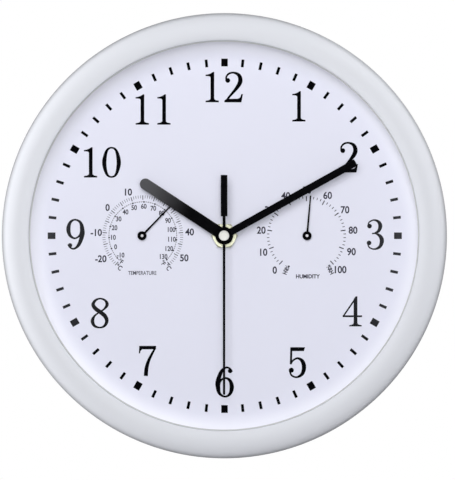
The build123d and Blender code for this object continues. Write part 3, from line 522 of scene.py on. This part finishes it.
seal_profile = [(SEAL_R, LENS_TOP), (LENS_R, LENS_TOP), (LENS_R, LIP_LOW), (SEAL_R + EDGE, LIP_LOW),
                (SEAL_R, LIP_LOW - EDGE)]
lens_profile = [(PINHOLE, LENS_LOW), (LENS_R - EDGE, LENS_LOW), (LENS_R, LENS_LOW + EDGE),
                (LENS_R, LENS_TOP - EDGE), (LENS_R - EDGE, LENS_TOP), (PINHOLE, LENS_TOP)]
spacer_profile = tube(SPACER_R, SPACER_OUTER_R, DIAL, LENS_LOW)
piece("lens-seal", lathe(seal_profile, RING_SIDES), seal_rubber, "case", "seal_rubber", "lens_seal")
piece("lens", lathe(lens_profile, LENS_SIDES), lens_clear, "case", "clear_lens", "lens_glass")
piece("spacer-ring", lathe(spacer_profile, LENS_SIDES), white_plastic, "case", "white_moulding",
      "dial_spacer_ring")


# Digits, measured from their lower left corner in units of which DIGIT_TALL make their height

DIGIT_TALL = 272
STROKE_STEPS, BALL_STEPS = 6, 20


def smoothed(points, closed):
    """Points along a smooth curve through the given ones."""
    count = len(points)
    samples = []
    for i in range(count if closed else count - 1):
        start, end = points[i], points[(i + 1) % count]
        before = points[i - 1] if closed or i else 2 * start - end
        after = points[(i + 2) % count] if closed or i + 2 < count else 2 * end - start
        bend = 2 * before - 5 * start + 4 * end - after
        twist = 3 * start - 3 * end + after - before
        for k in range(STROKE_STEPS):
            t = k / STROKE_STEPS
            samples.append(0.5 * (2 * start + (end - before) * t + bend * t * t + twist * t ** 3))
    return samples if closed else samples + [points[-1]]


def stroke(points, closed=False):
    """Quads along a smooth line through (x, y, width) points."""
    samples = smoothed([Vector(p) for p in points], closed)
    count = len(samples)
    edge = []
    for i, sample in enumerate(samples):
        before = samples[i - 1] if closed or i else sample
        after = samples[(i + 1) % count] if closed or i + 1 < count else sample
        way = (after - before).to_2d().normalized()
        side = Vector((-way.y, way.x)) * sample.z / 2
        at = sample.to_2d()
        edge.append((tuple(at + side), tuple(at - side)))
    following = edge[1:] + edge[:1] if closed else edge[1:]
    return [[a[0], a[1], b[1], b[0]] for a, b in zip(edge, following)]


def ball(x, y, radius):
    """The round end of a stroke."""
    angles = [math.tau * k / BALL_STEPS for k in range(BALL_STEPS)]
    return [[(x + radius * math.cos(angle), y + radius * math.sin(angle)) for angle in angles]]


def grown(shape, by):
    """A polygon with its edges moved outwards."""
    points = [Vector(p) for p in shape]
    if signed_area(points) < 0:
        points.reverse()
    ways = [(b - a).normalized() for a, b in zip(points, points[1:] + points[:1])]
    moved = []
    for k, at in enumerate(points):
        first, second = (Vector((way.y, -way.x)) for way in (ways[k - 1], ways[k]))
        moved.append(tuple(at + (first + second) * by / max(0.5, 1 + first.dot(second))))
    return moved


def zero():
    return 168, stroke([(84, 269, 12), (40, 240, 22), (18, 136, 37), (40, 32, 22), (84, 3, 12),
                        (128, 32, 22), (150, 136, 37), (128, 240, 22)], closed=True)


def one():
    return 117, [[(0, 0), (117, 0), (117, 11), (92, 15), (78, 24), (75, 34), (75, 272), (66, 272),
                  (45, 258), (20, 249), (0, 247), (0, 238), (30, 236), (41, 231), (45, 222), (45, 34),
                  (42, 24), (27, 15), (0, 11)]]


def two():
    sweep = stroke([(13, 196, 8), (17, 232, 11), (42, 259, 12), (84, 266, 13), (128, 245, 26),
                    (143, 200, 35), (130, 157, 32), (88, 100, 21), (46, 52, 15), (20, 18, 12)])
    foot = [(0, 0), (150, 0), (163, 70), (154, 70), (146, 46), (134, 32), (112, 27), (34, 27), (12, 22),
            (0, 12)]
    return 163, sweep + ball(29, 196, 19) + [foot]


def three():
    upper = stroke([(12, 212, 8), (22, 246, 10), (66, 267, 12), (108, 250, 25), (124, 212, 34),
                    (108, 168, 25), (74, 148, 12), (50, 145, 10)])
    lower = stroke([(50, 145, 10), (84, 144, 13), (124, 118, 30), (138, 76, 36), (118, 24, 25),
                    (70, 3, 12), (26, 18, 11), (8, 52, 8)])
    return 156, upper + lower + ball(26, 212, 20) + ball(22, 60, 20)


def four():
    slant = stroke([(6, 92, 13), (126, 268, 13)])
    crossbar = [(0, 84), (175, 84), (175, 100), (0, 100)]
    stem = [(100, 30), (133, 30), (133, 272), (118, 272), (100, 248)]
    serif = [(60, 0), (172, 0), (172, 11), (148, 15), (136, 22), (133, 36), (100, 36), (97, 22), (84, 15),
             (60, 11)]
    return 175, slant + [crossbar, stem, serif]


def five():
    flag = [(18, 272), (22, 242), (136, 242), (146, 272)]
    neck = [(17, 262), (31, 262), (27, 122), (13, 122)]
    bowl = stroke([(19, 125, 9), (44, 158, 11), (84, 174, 14), (124, 148, 28), (139, 92, 34),
                   (122, 32, 26), (74, 3, 12), (28, 18, 11), (8, 58, 8)])
    return 156, [flag, neck] + bowl + ball(24, 66, 20)


def six():
    back = stroke([(150, 230, 8), (128, 258, 11), (92, 266, 13), (50, 226, 27), (20, 136, 37),
                   (24, 70, 34)])
    bowl = stroke([(88, 172, 12), (42, 144, 16), (22, 86, 34), (40, 26, 20), (88, 3, 12), (130, 28, 22),
                   (147, 86, 34), (132, 146, 24)], closed=True)
    return 165, back + bowl + ball(132, 236, 18)


def seven():
    flag = [(5, 205), (14, 205), (20, 228), (34, 242), (160, 242), (160, 272), (8, 272)]
    return 161, [flag] + stroke([(151, 250, 15), (128, 208, 20), (94, 140, 27), (74, 70, 34), (68, 0, 36)])


def eight():
    return 165, stroke([(86, 267, 12), (42, 250, 20), (22, 212, 30), (46, 174, 34), (88, 144, 34),
                        (130, 108, 34), (146, 64, 30), (126, 20, 20), (82, 4, 12), (34, 20, 22),
                        (16, 64, 30), (34, 108, 16), (76, 142, 11), (122, 172, 14), (149, 212, 27),
                        (132, 250, 18)], closed=True)


def nine():
    """A six turned over."""
    width = 167
    return width, [[(width - x, DIGIT_TALL - y) for x, y in shape] for shape in six()[1]]


# Each digit is its width and its polygons. BOLDER is the weight that its strokes gain, and DIGIT_GAPS
# the room between the two digits of a numeral.
DIGITS = {"0": zero(), "1": one(), "2": two(), "3": three(), "4": four(), "5": five(), "6": six(),
          "7": seven(), "8": eight(), "9": nine()}
BOLDER = {"0": 2.8, "1": 3.5, "2": 5.4, "3": 2.4, "4": 1.0, "5": 5.4, "6": 5.4, "7": 1.4, "8": 3.0,
          "9": 4.2}
DIGIT_GAPS = {"12": 54, "11": 80, "10": 48}


# Numerals and minute track, printed on the dial

NUMERAL_HEIGHT = 16.9
NUMERALS = [(-0.2, 83.8), (41.9, 72.9), (69.9, 44.2), (84.9, 0.7), (72.0, -42.6), (41.0, -71.4),
            (0.1, -82.4), (-43.6, -70.6), (-70.4, -43.6), (-84.2, 0.8), (-68.9, 41.4), (-40.3, 71.2)]
TRACK_R = 97.65
MINUTES = 60
MINUTE_MARK, HOUR_MARK = (1.6, 4.35), (3.7, 4.4)    # widths and lengths


def numeral(text, x, y):
    """A numeral centred on (x, y)."""
    size = NUMERAL_HEIGHT / DIGIT_TALL
    gap = DIGIT_GAPS.get(text, 0)
    pen = -(sum(DIGITS[c][0] for c in text) + gap) / 2
    shapes = []
    for c in text:
        width, strokes = DIGITS[c]
        for shape in strokes:
            shapes.append([(x + (pen + u) * size, y + (v - DIGIT_TALL / 2) * size)
                           for u, v in grown(shape, BOLDER[c] / 2)])
        pen += width + gap
    return union(shapes)


def track_mark(minute):
    """A mark of the minute track, wider at the hours."""
    width, length = MINUTE_MARK if minute % 5 else HOUR_MARK
    angle = 360 * minute / MINUTES
    inner, outer = TRACK_R - length / 2, TRACK_R + length / 2
    return union([bar(polar(inner, angle), polar(outer, angle), width)])


flats = [numeral(str(hour or 12), x, y) for hour, (x, y) in enumerate(NUMERALS)]
flats += [track_mark(minute) for minute in range(MINUTES)]
piece("dial-numerals-and-track", slab(flats, DIAL - SUNK, DIAL + INK), ink, "case", "dial_white")


# Letters of the printed scales

def letter_height():
    """Height of a capital letter of the built-in font at size 1."""
    curve = bpy.data.curves.new("measure", "FONT")
    curve.body = "H"
    letter = bpy.data.objects.new("measure", curve)
    bpy.context.scene.collection.objects.link(letter)
    bpy.context.view_layer.update()
    tall = letter.dimensions.y
    bpy.data.objects.remove(letter)
    bpy.data.curves.remove(curve)
    return tall


CAPITAL = letter_height()


def lettering(text, height, x, y, turn=0.0, squeeze=1.0, weight=0.026):
    """Words in the plain built-in letters, centred on (x, y), turned anticlockwise by turn degrees."""
    curve = bpy.data.curves.new("letters", "FONT")
    curve.body = text
    curve.size = 1.0
    curve.offset = weight
    curve.resolution_u = 4
    words = bpy.data.objects.new("letters", curve)
    bpy.context.scene.collection.objects.link(words)
    bpy.context.view_layer.update()
    filled = words.evaluated_get(bpy.context.evaluated_depsgraph_get())
    mesh = bpy.data.meshes.new_from_object(filled)
    across = [v.co.x for v in mesh.vertices]
    middle = (min(across) + max(across)) / 2
    scale = height / CAPITAL
    cosine, sine = math.cos(math.radians(turn)), math.sin(math.radians(turn))
    points = []
    for v in mesh.vertices:
        right = (v.co.x - middle) * scale * squeeze
        up = (v.co.y - CAPITAL / 2) * scale
        points.append((x + right * cosine - up * sine, y + right * sine + up * cosine))
    faces = [list(polygon.vertices) for polygon in mesh.polygons]
    bpy.data.objects.remove(words)
    bpy.data.curves.remove(curve)
    bpy.data.meshes.remove(mesh)
    return points, faces


LONG_EVERY = 5
WORDS_HEIGHT = 2.1                          # of the two words under the scales


def ticks(x, count, step, outer, short, long):
    """Marks about (x, 0), spread evenly to both sides of the upright, with a long one now and then.
    short and long are the inner radius and the width of a mark."""
    made = []
    first = -(count - 1) / 2 * step
    for k in range(count):
        angle = first + step * k
        inner, width = short if k % LONG_EVERY else long
        made.append(union([bar(polar(inner, angle, x), polar(outer, angle, x), width)]))
    return made


# The thermometer's scale: Celsius outside, Fahrenheit inside

THERMO = -GAUGE_X
THERMO_PRINT = THERMO + 0.4                 # the print's centre, a little off the spindle
PER_CELSIUS = 3.42                          # degrees of turn for one of temperature
PER_FAHRENHEIT = PER_CELSIUS * 5 / 9
UPRIGHT_FAHRENHEIT = 59                     # the value that stands at the top
CELSIUS_MARKS = 81                          # one for each degree
FAHRENHEIT_MARKS = range(-12, 132, 2)
CELSIUS_OUTER, CELSIUS_SHORT, CELSIUS_LONG = 22.8, (21.1, 0.25), (20.3, 0.45)
CELSIUS_FIGURES, FAHRENHEIT_FIGURES = 3.65, 2.6         # heights
CELSIUS_LABELS = {-20: (-23.3, -12.98), -10: (-25.9, 1.82), 0: (-19.5, 15.92), 10: (-7.7, 24.62),
                  20: (7.7, 24.72), 30: (20.0, 16.12), 40: (26.8, 2.12), 50: (23.8, -12.48)}
LINE_OUTER, LINE_INNER, LINE_END = 19.2, 19.06, 137     # a thin ring's two radii, and half its angle
LINE_STEPS = 96
FAHRENHEIT_OUTER, FAHRENHEIT_INNER, FAHRENHEIT_WIDTH = 19.5, 18.75, 0.2
DOTS_R, DOT_SIZE, DOT_SIDES = 19.1, 0.5, 12
FAHRENHEIT_LABELS_R = 16.6
UNIT_SIGNS = [("°C", 2.6, -13.0, -17.8, -35), ("°F", 2.4, -12.0, -14.5, -35),      # height, x, y, turn
              ("°C", 2.6, 14.7, -17.8, -55), ("°F", 2.4, 11.8, -15.3, -55)]


def fahrenheit_mark(value):
    """A short line, or at the tens a dot and its figures."""
    angle = (value - UPRIGHT_FAHRENHEIT) * PER_FAHRENHEIT
    if value % 10:
        return [union([bar(polar(FAHRENHEIT_INNER, angle, THERMO_PRINT),
                           polar(FAHRENHEIT_OUTER, angle, THERMO_PRINT), FAHRENHEIT_WIDTH)])]
    return [union([circle(DOT_SIZE, *polar(DOTS_R, angle, THERMO_PRINT), steps=DOT_SIDES)]),
            lettering(str(value), FAHRENHEIT_FIGURES, *polar(FAHRENHEIT_LABELS_R, angle, THERMO_PRINT),
                      squeeze=0.85)]


scale = ticks(THERMO_PRINT, CELSIUS_MARKS, PER_CELSIUS, CELSIUS_OUTER, CELSIUS_SHORT, CELSIUS_LONG)
for value, (x, y) in CELSIUS_LABELS.items():
    scale.append(lettering(str(value), CELSIUS_FIGURES, THERMO + x, y, squeeze=0.92))
scale.append(union(ring_strip(LINE_OUTER, LINE_INNER, -LINE_END, LINE_END, LINE_STEPS, THERMO_PRINT)))
for value in FAHRENHEIT_MARKS:
    scale += fahrenheit_mark(value)
for text, height, x, y, turn in UNIT_SIGNS:
    scale.append(lettering(text, height, THERMO + x, y, turn=turn, squeeze=0.85))
scale.append(lettering("TEMPERATURE", WORDS_HEIGHT, THERMO + 0.1, -21.0, squeeze=0.79, weight=0.014))


# The hygrometer's scale

HYGRO = GAUGE_X
HYGRO_PRINT = HYGRO - 0.35                  # the print's centre, a little off the spindle
PER_HUMIDITY = 2.73                         # degrees of turn for one per cent
HUMIDITY_MARKS, HUMIDITY_STEP = 51, 2
HUMIDITY_OUTER, HUMIDITY_SHORT, HUMIDITY_LONG = 22.25, (20.9, 0.42), (19.5, 0.58)
HUMIDITY_FIGURES = 3.8
HUMIDITY_LABELS = {0: (-18.2, -19.38), 10: (-24.4, -9.28), 20: (-25.8, 3.12), 30: (-21.4, 14.62),
                   40: (-12.0, 22.52), 50: (0, 25.72), 60: (11.6, 22.72), 70: (21.4, 14.62),
                   80: (25.9, 3.12), 90: (25.0, -8.98), 100: (18.9, -19.08)}
PERCENT_HEIGHT = 2.2
PERCENT_SIGNS = [(-11.7, -19.1, -112), (13.0, -19.1, -62)]

scale += ticks(HYGRO_PRINT, HUMIDITY_MARKS, HUMIDITY_STEP * PER_HUMIDITY, HUMIDITY_OUTER, HUMIDITY_SHORT,
               HUMIDITY_LONG)
for value, (x, y) in HUMIDITY_LABELS.items():
    scale.append(lettering(str(value), HUMIDITY_FIGURES, HYGRO + x, y, squeeze=0.9))
for x, y, turn in PERCENT_SIGNS:
    scale.append(lettering("%RH", PERCENT_HEIGHT, HYGRO + x, y, turn=turn, squeeze=0.85, weight=0.045))
scale.append(lettering("HUMIDITY", WORDS_HEIGHT, HYGRO + 0.5, -22.9, squeeze=0.93, weight=0.035))
piece("dial-instrument-scales", slab(scale, DIAL - SUNK, DIAL + INK), fine_ink, "case", "dial_white")


# Hands: each a flat blade on a turned hub

HOUR_AT, MINUTE_AT = 303.2, 60.9                    # degrees clockwise from the upright
HOUR_FROM, HOUR_TO, HOUR_WIDTH = 3.4, 56.2, 6.4
MINUTE_FROM, MINUTE_TO, MINUTE_WIDTH = 2.6, 84.6, 4.1
HOUR_LEVEL, MINUTE_LEVEL, SECOND_LEVEL = 26.1, 28.1, 29.6       # undersides of the hubs
HUB_THICK, HUB_SIDES, SECOND_HUB_SIDES = 0.9, 64, 40
BLADE_LOW, BLADE_HIGH = 0.2, 0.7                    # above the hub's underside
SOFT_EDGE, SECOND_SOFT_EDGE = 0.12, 0.08
HOUR_BORE, HOUR_HUB_R, HOUR_HUB_CUT = 2.61, 5.0, 0.15
MINUTE_BORE, MINUTE_HUB_R, MINUTE_HUB_CUT = 1.62, 4.3, 0.6
SECOND_BORE, SECOND_HUB_R, SECOND_HUB_THICK = 0.52, 1.8, 0.6
SECOND_BLADE_LOW, SECOND_BLADE_TOP = 30.1, 30.5
SECOND_TO, SECOND_HALF, SECOND_TIP_HALF = -89.3, 0.7, 0.62
STEM_HALF, STEM_TO = 0.83, 11.2
TAIL_HALF, TAIL_FROM, TAIL_TO = 1.85, 10.9, 34.1
CAP_SIDES = 72


def hand(which, shapes, low, high, hub, hub_sides, material, soft):
    """A hand from its flat shapes and its hub's profile, with edges softened by so many mm."""
    solid = slab([union(shapes)], low, high)
    lathe(hub, hub_sides, into=solid)
    bevelled(piece(f"{which}-hand", solid, material, f"{which}_arbor", "hand_black", f"{which}_hand"), soft)


def hour_hand():
    """A broad hand with a round tip."""
    tip = polar(HOUR_TO, HOUR_AT)
    blade = bar(polar(HOUR_FROM, HOUR_AT), tip, HOUR_WIDTH, round_end=True)
    hub = tube(HOUR_BORE, HOUR_HUB_R, HOUR_LEVEL, HOUR_LEVEL + HUB_THICK, HOUR_HUB_CUT)
    hand("hour", [blade], HOUR_LEVEL + BLADE_LOW, HOUR_LEVEL + BLADE_HIGH, hub, HUB_SIDES,
         hour_lacquer(*tip), SOFT_EDGE)


def minute_hand():
    """A long straight hand with a square tip."""
    blade = bar(polar(MINUTE_FROM, MINUTE_AT), polar(MINUTE_TO, MINUTE_AT), MINUTE_WIDTH)
    hub = tube(MINUTE_BORE, MINUTE_HUB_R, MINUTE_LEVEL, MINUTE_LEVEL + HUB_THICK, MINUTE_HUB_CUT)
    hand("minute", [blade], MINUTE_LEVEL + BLADE_LOW, MINUTE_LEVEL + BLADE_HIGH, hub, HUB_SIDES,
         hand_black, SOFT_EDGE)


def second_hand():
    """A thin hand that points down, with a stem and a broad tail above."""
    blade = upright(SECOND_TIP_HALF, SECOND_TO, SECOND_HALF, 0)
    stem = upright(STEM_HALF, 0, STEM_HALF, STEM_TO)
    tail = upright(TAIL_HALF, TAIL_FROM, TAIL_HALF, TAIL_TO)
    hub = tube(SECOND_BORE, SECOND_HUB_R, SECOND_LEVEL, SECOND_LEVEL + SECOND_HUB_THICK)
    hand("second", [blade, stem, tail, circle(TAIL_HALF)], SECOND_BLADE_LOW, SECOND_BLADE_TOP, hub,
         SECOND_HUB_SIDES, hand_black, SECOND_SOFT_EDGE)


def second_hand_cap():
    """A round cap with a raised, rounded rim round a shallow dish that swells in its middle."""
    radius, edge, top = 2.9, 0.15, 31.7
    rim_round, rim_high = 0.3, 0.4
    dish = [(2.3, 0.0), (2.15, 0.1), (1.5, 0.08), (SMALL_PINHOLE, 0.04)]    # radii, and depths in the rim
    side = [(SMALL_PINHOLE, SECOND_BLADE_TOP), (radius - edge, SECOND_BLADE_TOP),
            (radius, SECOND_BLADE_TOP + edge), (radius, top - rim_high)]
    rim = arc(radius - rim_round, top - rim_round, rim_round, 0, 90, 4)
    hollow = [(r, top - deep) for r, deep in dish]
    piece("second-hand-cap", lathe(side + rim + hollow, CAP_SIDES), cap_silver, "second_arbor", "cap_silver",
          "second_hand_cap", smooth=50)


hour_hand()
minute_hand()
second_hand()
second_hand_cap()


# Gauge pointers and their spindles

THERMO_AT, HYGRO_AT = 43.8, 5.1                     # degrees clockwise from the upright
NEEDLE_FROM, NEEDLE_TO = 1.2, 22.7
NEEDLE_WIDTH, NEEDLE_TIP_WIDTH = 1.12, 0.72
NEEDLE_LOW, NEEDLE_HIGH = 22.95, 23.15
NEEDLE_HUB_R, NEEDLE_HUB_LOW, NEEDLE_HUB_TOP, NEEDLE_HUB_CUT = 2.55, 22.7, 23.4, 0.1
NEEDLE_BORE = 0.87
SPINDLE_R, SPINDLE_TIP_R, FLANGE_R = 0.85, 0.55, 1.55
SPINDLE_LOW, SPINDLE_TOP, SPINDLE_POINT = 12.5, 23.6, 0.4       # the last is its point's length
FLANGE_FROM, FLANGE_TO = DIAL - 1.8, DIAL + 0.4
FLANGE_SLOPE, FLANGE_TOP_SLOPE = 0.2, 0.1           # heights of its cut edges
NEEDLE_HUB_SIDES, SPINDLE_SIDES = 48, 40


def pointer(which, x, angle):
    """A pointer with its hub, and the spindle that carries it through the dial."""
    needle = bar(polar(NEEDLE_FROM, angle, x), polar(NEEDLE_TO, angle, x), NEEDLE_WIDTH, NEEDLE_TIP_WIDTH)
    solid = slab([union([needle])], NEEDLE_LOW, NEEDLE_HIGH)
    hub = tube(NEEDLE_BORE, NEEDLE_HUB_R, NEEDLE_HUB_LOW, NEEDLE_HUB_TOP, NEEDLE_HUB_CUT)
    lathe(hub, NEEDLE_HUB_SIDES, x, into=solid)
    piece(f"{which}-pointer-and-hub", solid, hand_black, f"{which}_needle", "hand_black", f"{which}_pointer")
    shaft = [(SMALL_PINHOLE, SPINDLE_LOW), (SPINDLE_R, SPINDLE_LOW)]
    flange = [(SPINDLE_R, FLANGE_FROM), (FLANGE_R, FLANGE_FROM + FLANGE_SLOPE),
              (FLANGE_R, FLANGE_TO - FLANGE_TOP_SLOPE), (SPINDLE_R, FLANGE_TO)]
    point = [(SPINDLE_R, SPINDLE_TOP - SPINDLE_POINT), (SPINDLE_TIP_R, SPINDLE_TOP),
             (SMALL_PINHOLE, SPINDLE_TOP)]
    piece(f"{which}-spindle", lathe(shaft + flange + point, SPINDLE_SIDES, x), spindle_white,
          f"{which}_needle", "spindle_white", f"{which}_spindle")


pointer("thermometer", THERMO, THERMO_AT)
pointer("hygrometer", HYGRO, HYGRO_AT)


# Nut and washer on the threaded bush

WASHER_R, WASHER_BORE, WASHER_EDGE = 6.2, 4.1, 0.1
WASHER_TOP = 22.5
NUT_ACROSS, NUT_TOP, NUT_BORE = 13.0, 24.7, 4.05
NUT_CHAMFER = 0.7                                   # how far the nut's corners are turned down
NUT_STEPS = 96                                      # points round the nut
NUT_FACE_EDGE, NUT_FLAT_EDGE, NUT_MOUTH = 0.05, 0.02, 0.25
WASHER_SIDES = 72


def nut():
    """A hexagon nut whose corners are turned down; its rows of points run round it."""
    solid = bmesh.new()
    corner = NUT_ACROSS / math.sqrt(3)
    inner = NUT_ACROSS / 2 + NUT_FACE_EDGE          # radius at which the turned-down part begins
    rows = []
    for k in range(NUT_STEPS):
        angle = 360 * k / NUT_STEPS
        side = NUT_ACROSS / 2 / math.cos(math.radians(angle % 60 - 30))
        top = NUT_TOP - max(0.0, side - inner) / (corner - inner) * NUT_CHAMFER
        profile = [(NUT_BORE, WASHER_TOP), (side, WASHER_TOP), (side, top - NUT_FLAT_EDGE),
                   (min(side, inner) - NUT_FLAT_EDGE, NUT_TOP), (NUT_BORE + NUT_MOUTH, NUT_TOP),
                   (NUT_BORE, NUT_TOP - NUT_MOUTH)]
        rows.append([solid.verts.new(place(*polar(r, angle + 30), level)) for r, level in profile])
    joined(solid, rows)
    return solid


piece("shaft-nut", nut(), pale_brass, "case", "brass", "shaft_nut", smooth=25)
washer_profile = tube(WASHER_BORE, WASHER_R, DIAL, WASHER_TOP, WASHER_EDGE)
piece("dial-washer", lathe(washer_profile, WASHER_SIDES), pale_brass, "case", "brass", "dial_washer")


# Camera

AZIMUTH, ELEVATION = math.radians(1.7), math.radians(-0.15)
DISTANCE = 2.17                                     # in metres
MM_PER_PIXEL = 0.56155                              # at CROWN_LEVEL
PICTURE_WIDTH, SENSOR_WIDTH = 455, 36.0
AIM_RIGHT, AIM_DOWN = 3.42, 4.32                    # the picture's middle from the rim's centre, in pixels

camera_data = bpy.data.cameras.new("camera")
camera_data.sensor_fit = "HORIZONTAL"
camera_data.sensor_width = SENSOR_WIDTH
camera_data.lens = SENSOR_WIDTH * DISTANCE / MM / (PICTURE_WIDTH * MM_PER_PIXEL)
camera = bpy.data.objects.new("camera", camera_data)
bpy.context.scene.collection.objects.link(camera)
away = Vector((math.sin(AZIMUTH) * math.cos(ELEVATION), -math.cos(AZIMUTH) * math.cos(ELEVATION),
               math.sin(ELEVATION)))
facing = (-away).to_track_quat("-Z", "Y")
right, up = facing @ Vector((1, 0, 0)), facing @ Vector((0, 1, 0))
aim = place(0, 0, CROWN_LEVEL) + (right * AIM_RIGHT - up * AIM_DOWN) * MM_PER_PIXEL * MM
camera.location = aim + away * DISTANCE
camera.rotation_euler = facing.to_euler()
bpy.context.scene.camera = camera


# Lamps, with places and sizes in metres and power in watts; each faces the clock

def lamp(name, at, size, power):
    """A rectangular lamp that the camera doesn't see."""
    data = bpy.data.lights.new(name, "AREA")
    data.shape = "RECTANGLE"
    data.size, data.size_y = size
    data.energy = power
    made = bpy.data.objects.new(name, data)
    bpy.context.scene.collection.objects.link(made)
    made.location = at
    made.rotation_euler = Vector(at).to_track_quat("Z", "Y").to_euler()
    made.visible_camera = False


lamp("key", (-0.12, -0.86, 0.33), (0.62, 0.62), 4.95)
lamp("front", (0.09, -1.6, 0.1), (0.5, 0.5), 4.6)
lamp("fill", (0.7, -2.45, -0.3), (1.2, 1.2), 7)
lamp("left", (-2.0, 0.1, 0.15), (0.8, 1.2), 32)
lamp("right", (1.8, 0.1, 0.8), (0.8, 1.2), 21)
lamp("back", (0.6, 2.4, 0.9), (1.6, 1.6), 28)


# World: plain white to the eye and in reflections, and a soft light of its own

AMBIENT = 0.18

world = bpy.data.worlds.new("world")
bpy.context.scene.world = world
world.use_nodes = True
tree = world.node_tree
path = node(tree, "ShaderNodeLightPath")
seen = worked_out(tree, "MAXIMUM", path.outputs["Is Camera Ray"], path.outputs["Is Glossy Ray"])
seen = worked_out(tree, "MAXIMUM", seen, path.outputs["Is Transmission Ray"])
background = tree.nodes["Background"]
background.inputs["Color"].default_value = (0.97, 0.975, 1.0, 1)
background.inputs["Strength"].default_value = AMBIENT
white = node(tree, "ShaderNodeBackground", {"Color": (1, 1, 1, 1), "Strength": 1.0})
mixed = node(tree, "ShaderNodeMixShader", {0: seen, 1: background.outputs[0], 2: white.outputs[0]})
tree.links.new(mixed.outputs[0], tree.nodes["World Output"].inputs["Surface"])


# Floor, well below the clock

FLOOR_HALF, FLOOR_HEIGHT = 0.8, -1.1                # in metres

corners = [(-1, -1), (1, -1), (1, 1), (-1, 1)]
floor_mesh = bpy.data.meshes.new("floor")
floor_mesh.from_pydata([(x * FLOOR_HALF, y * FLOOR_HALF, FLOOR_HEIGHT) for x, y in corners], [],
                       [(0, 1, 2, 3)])
floor_mesh.materials.append(finish("pale floor", (226, 226, 228), (234, 234, 236), (0.6, 0.8), grain=4.0,
                                   bump=0.05, cloud=200.0))
floor = bpy.data.objects.new("floor", floor_mesh)
bpy.context.scene.collection.objects.link(floor)

bpy.context.scene.view_settings.view_transform = "Standard"
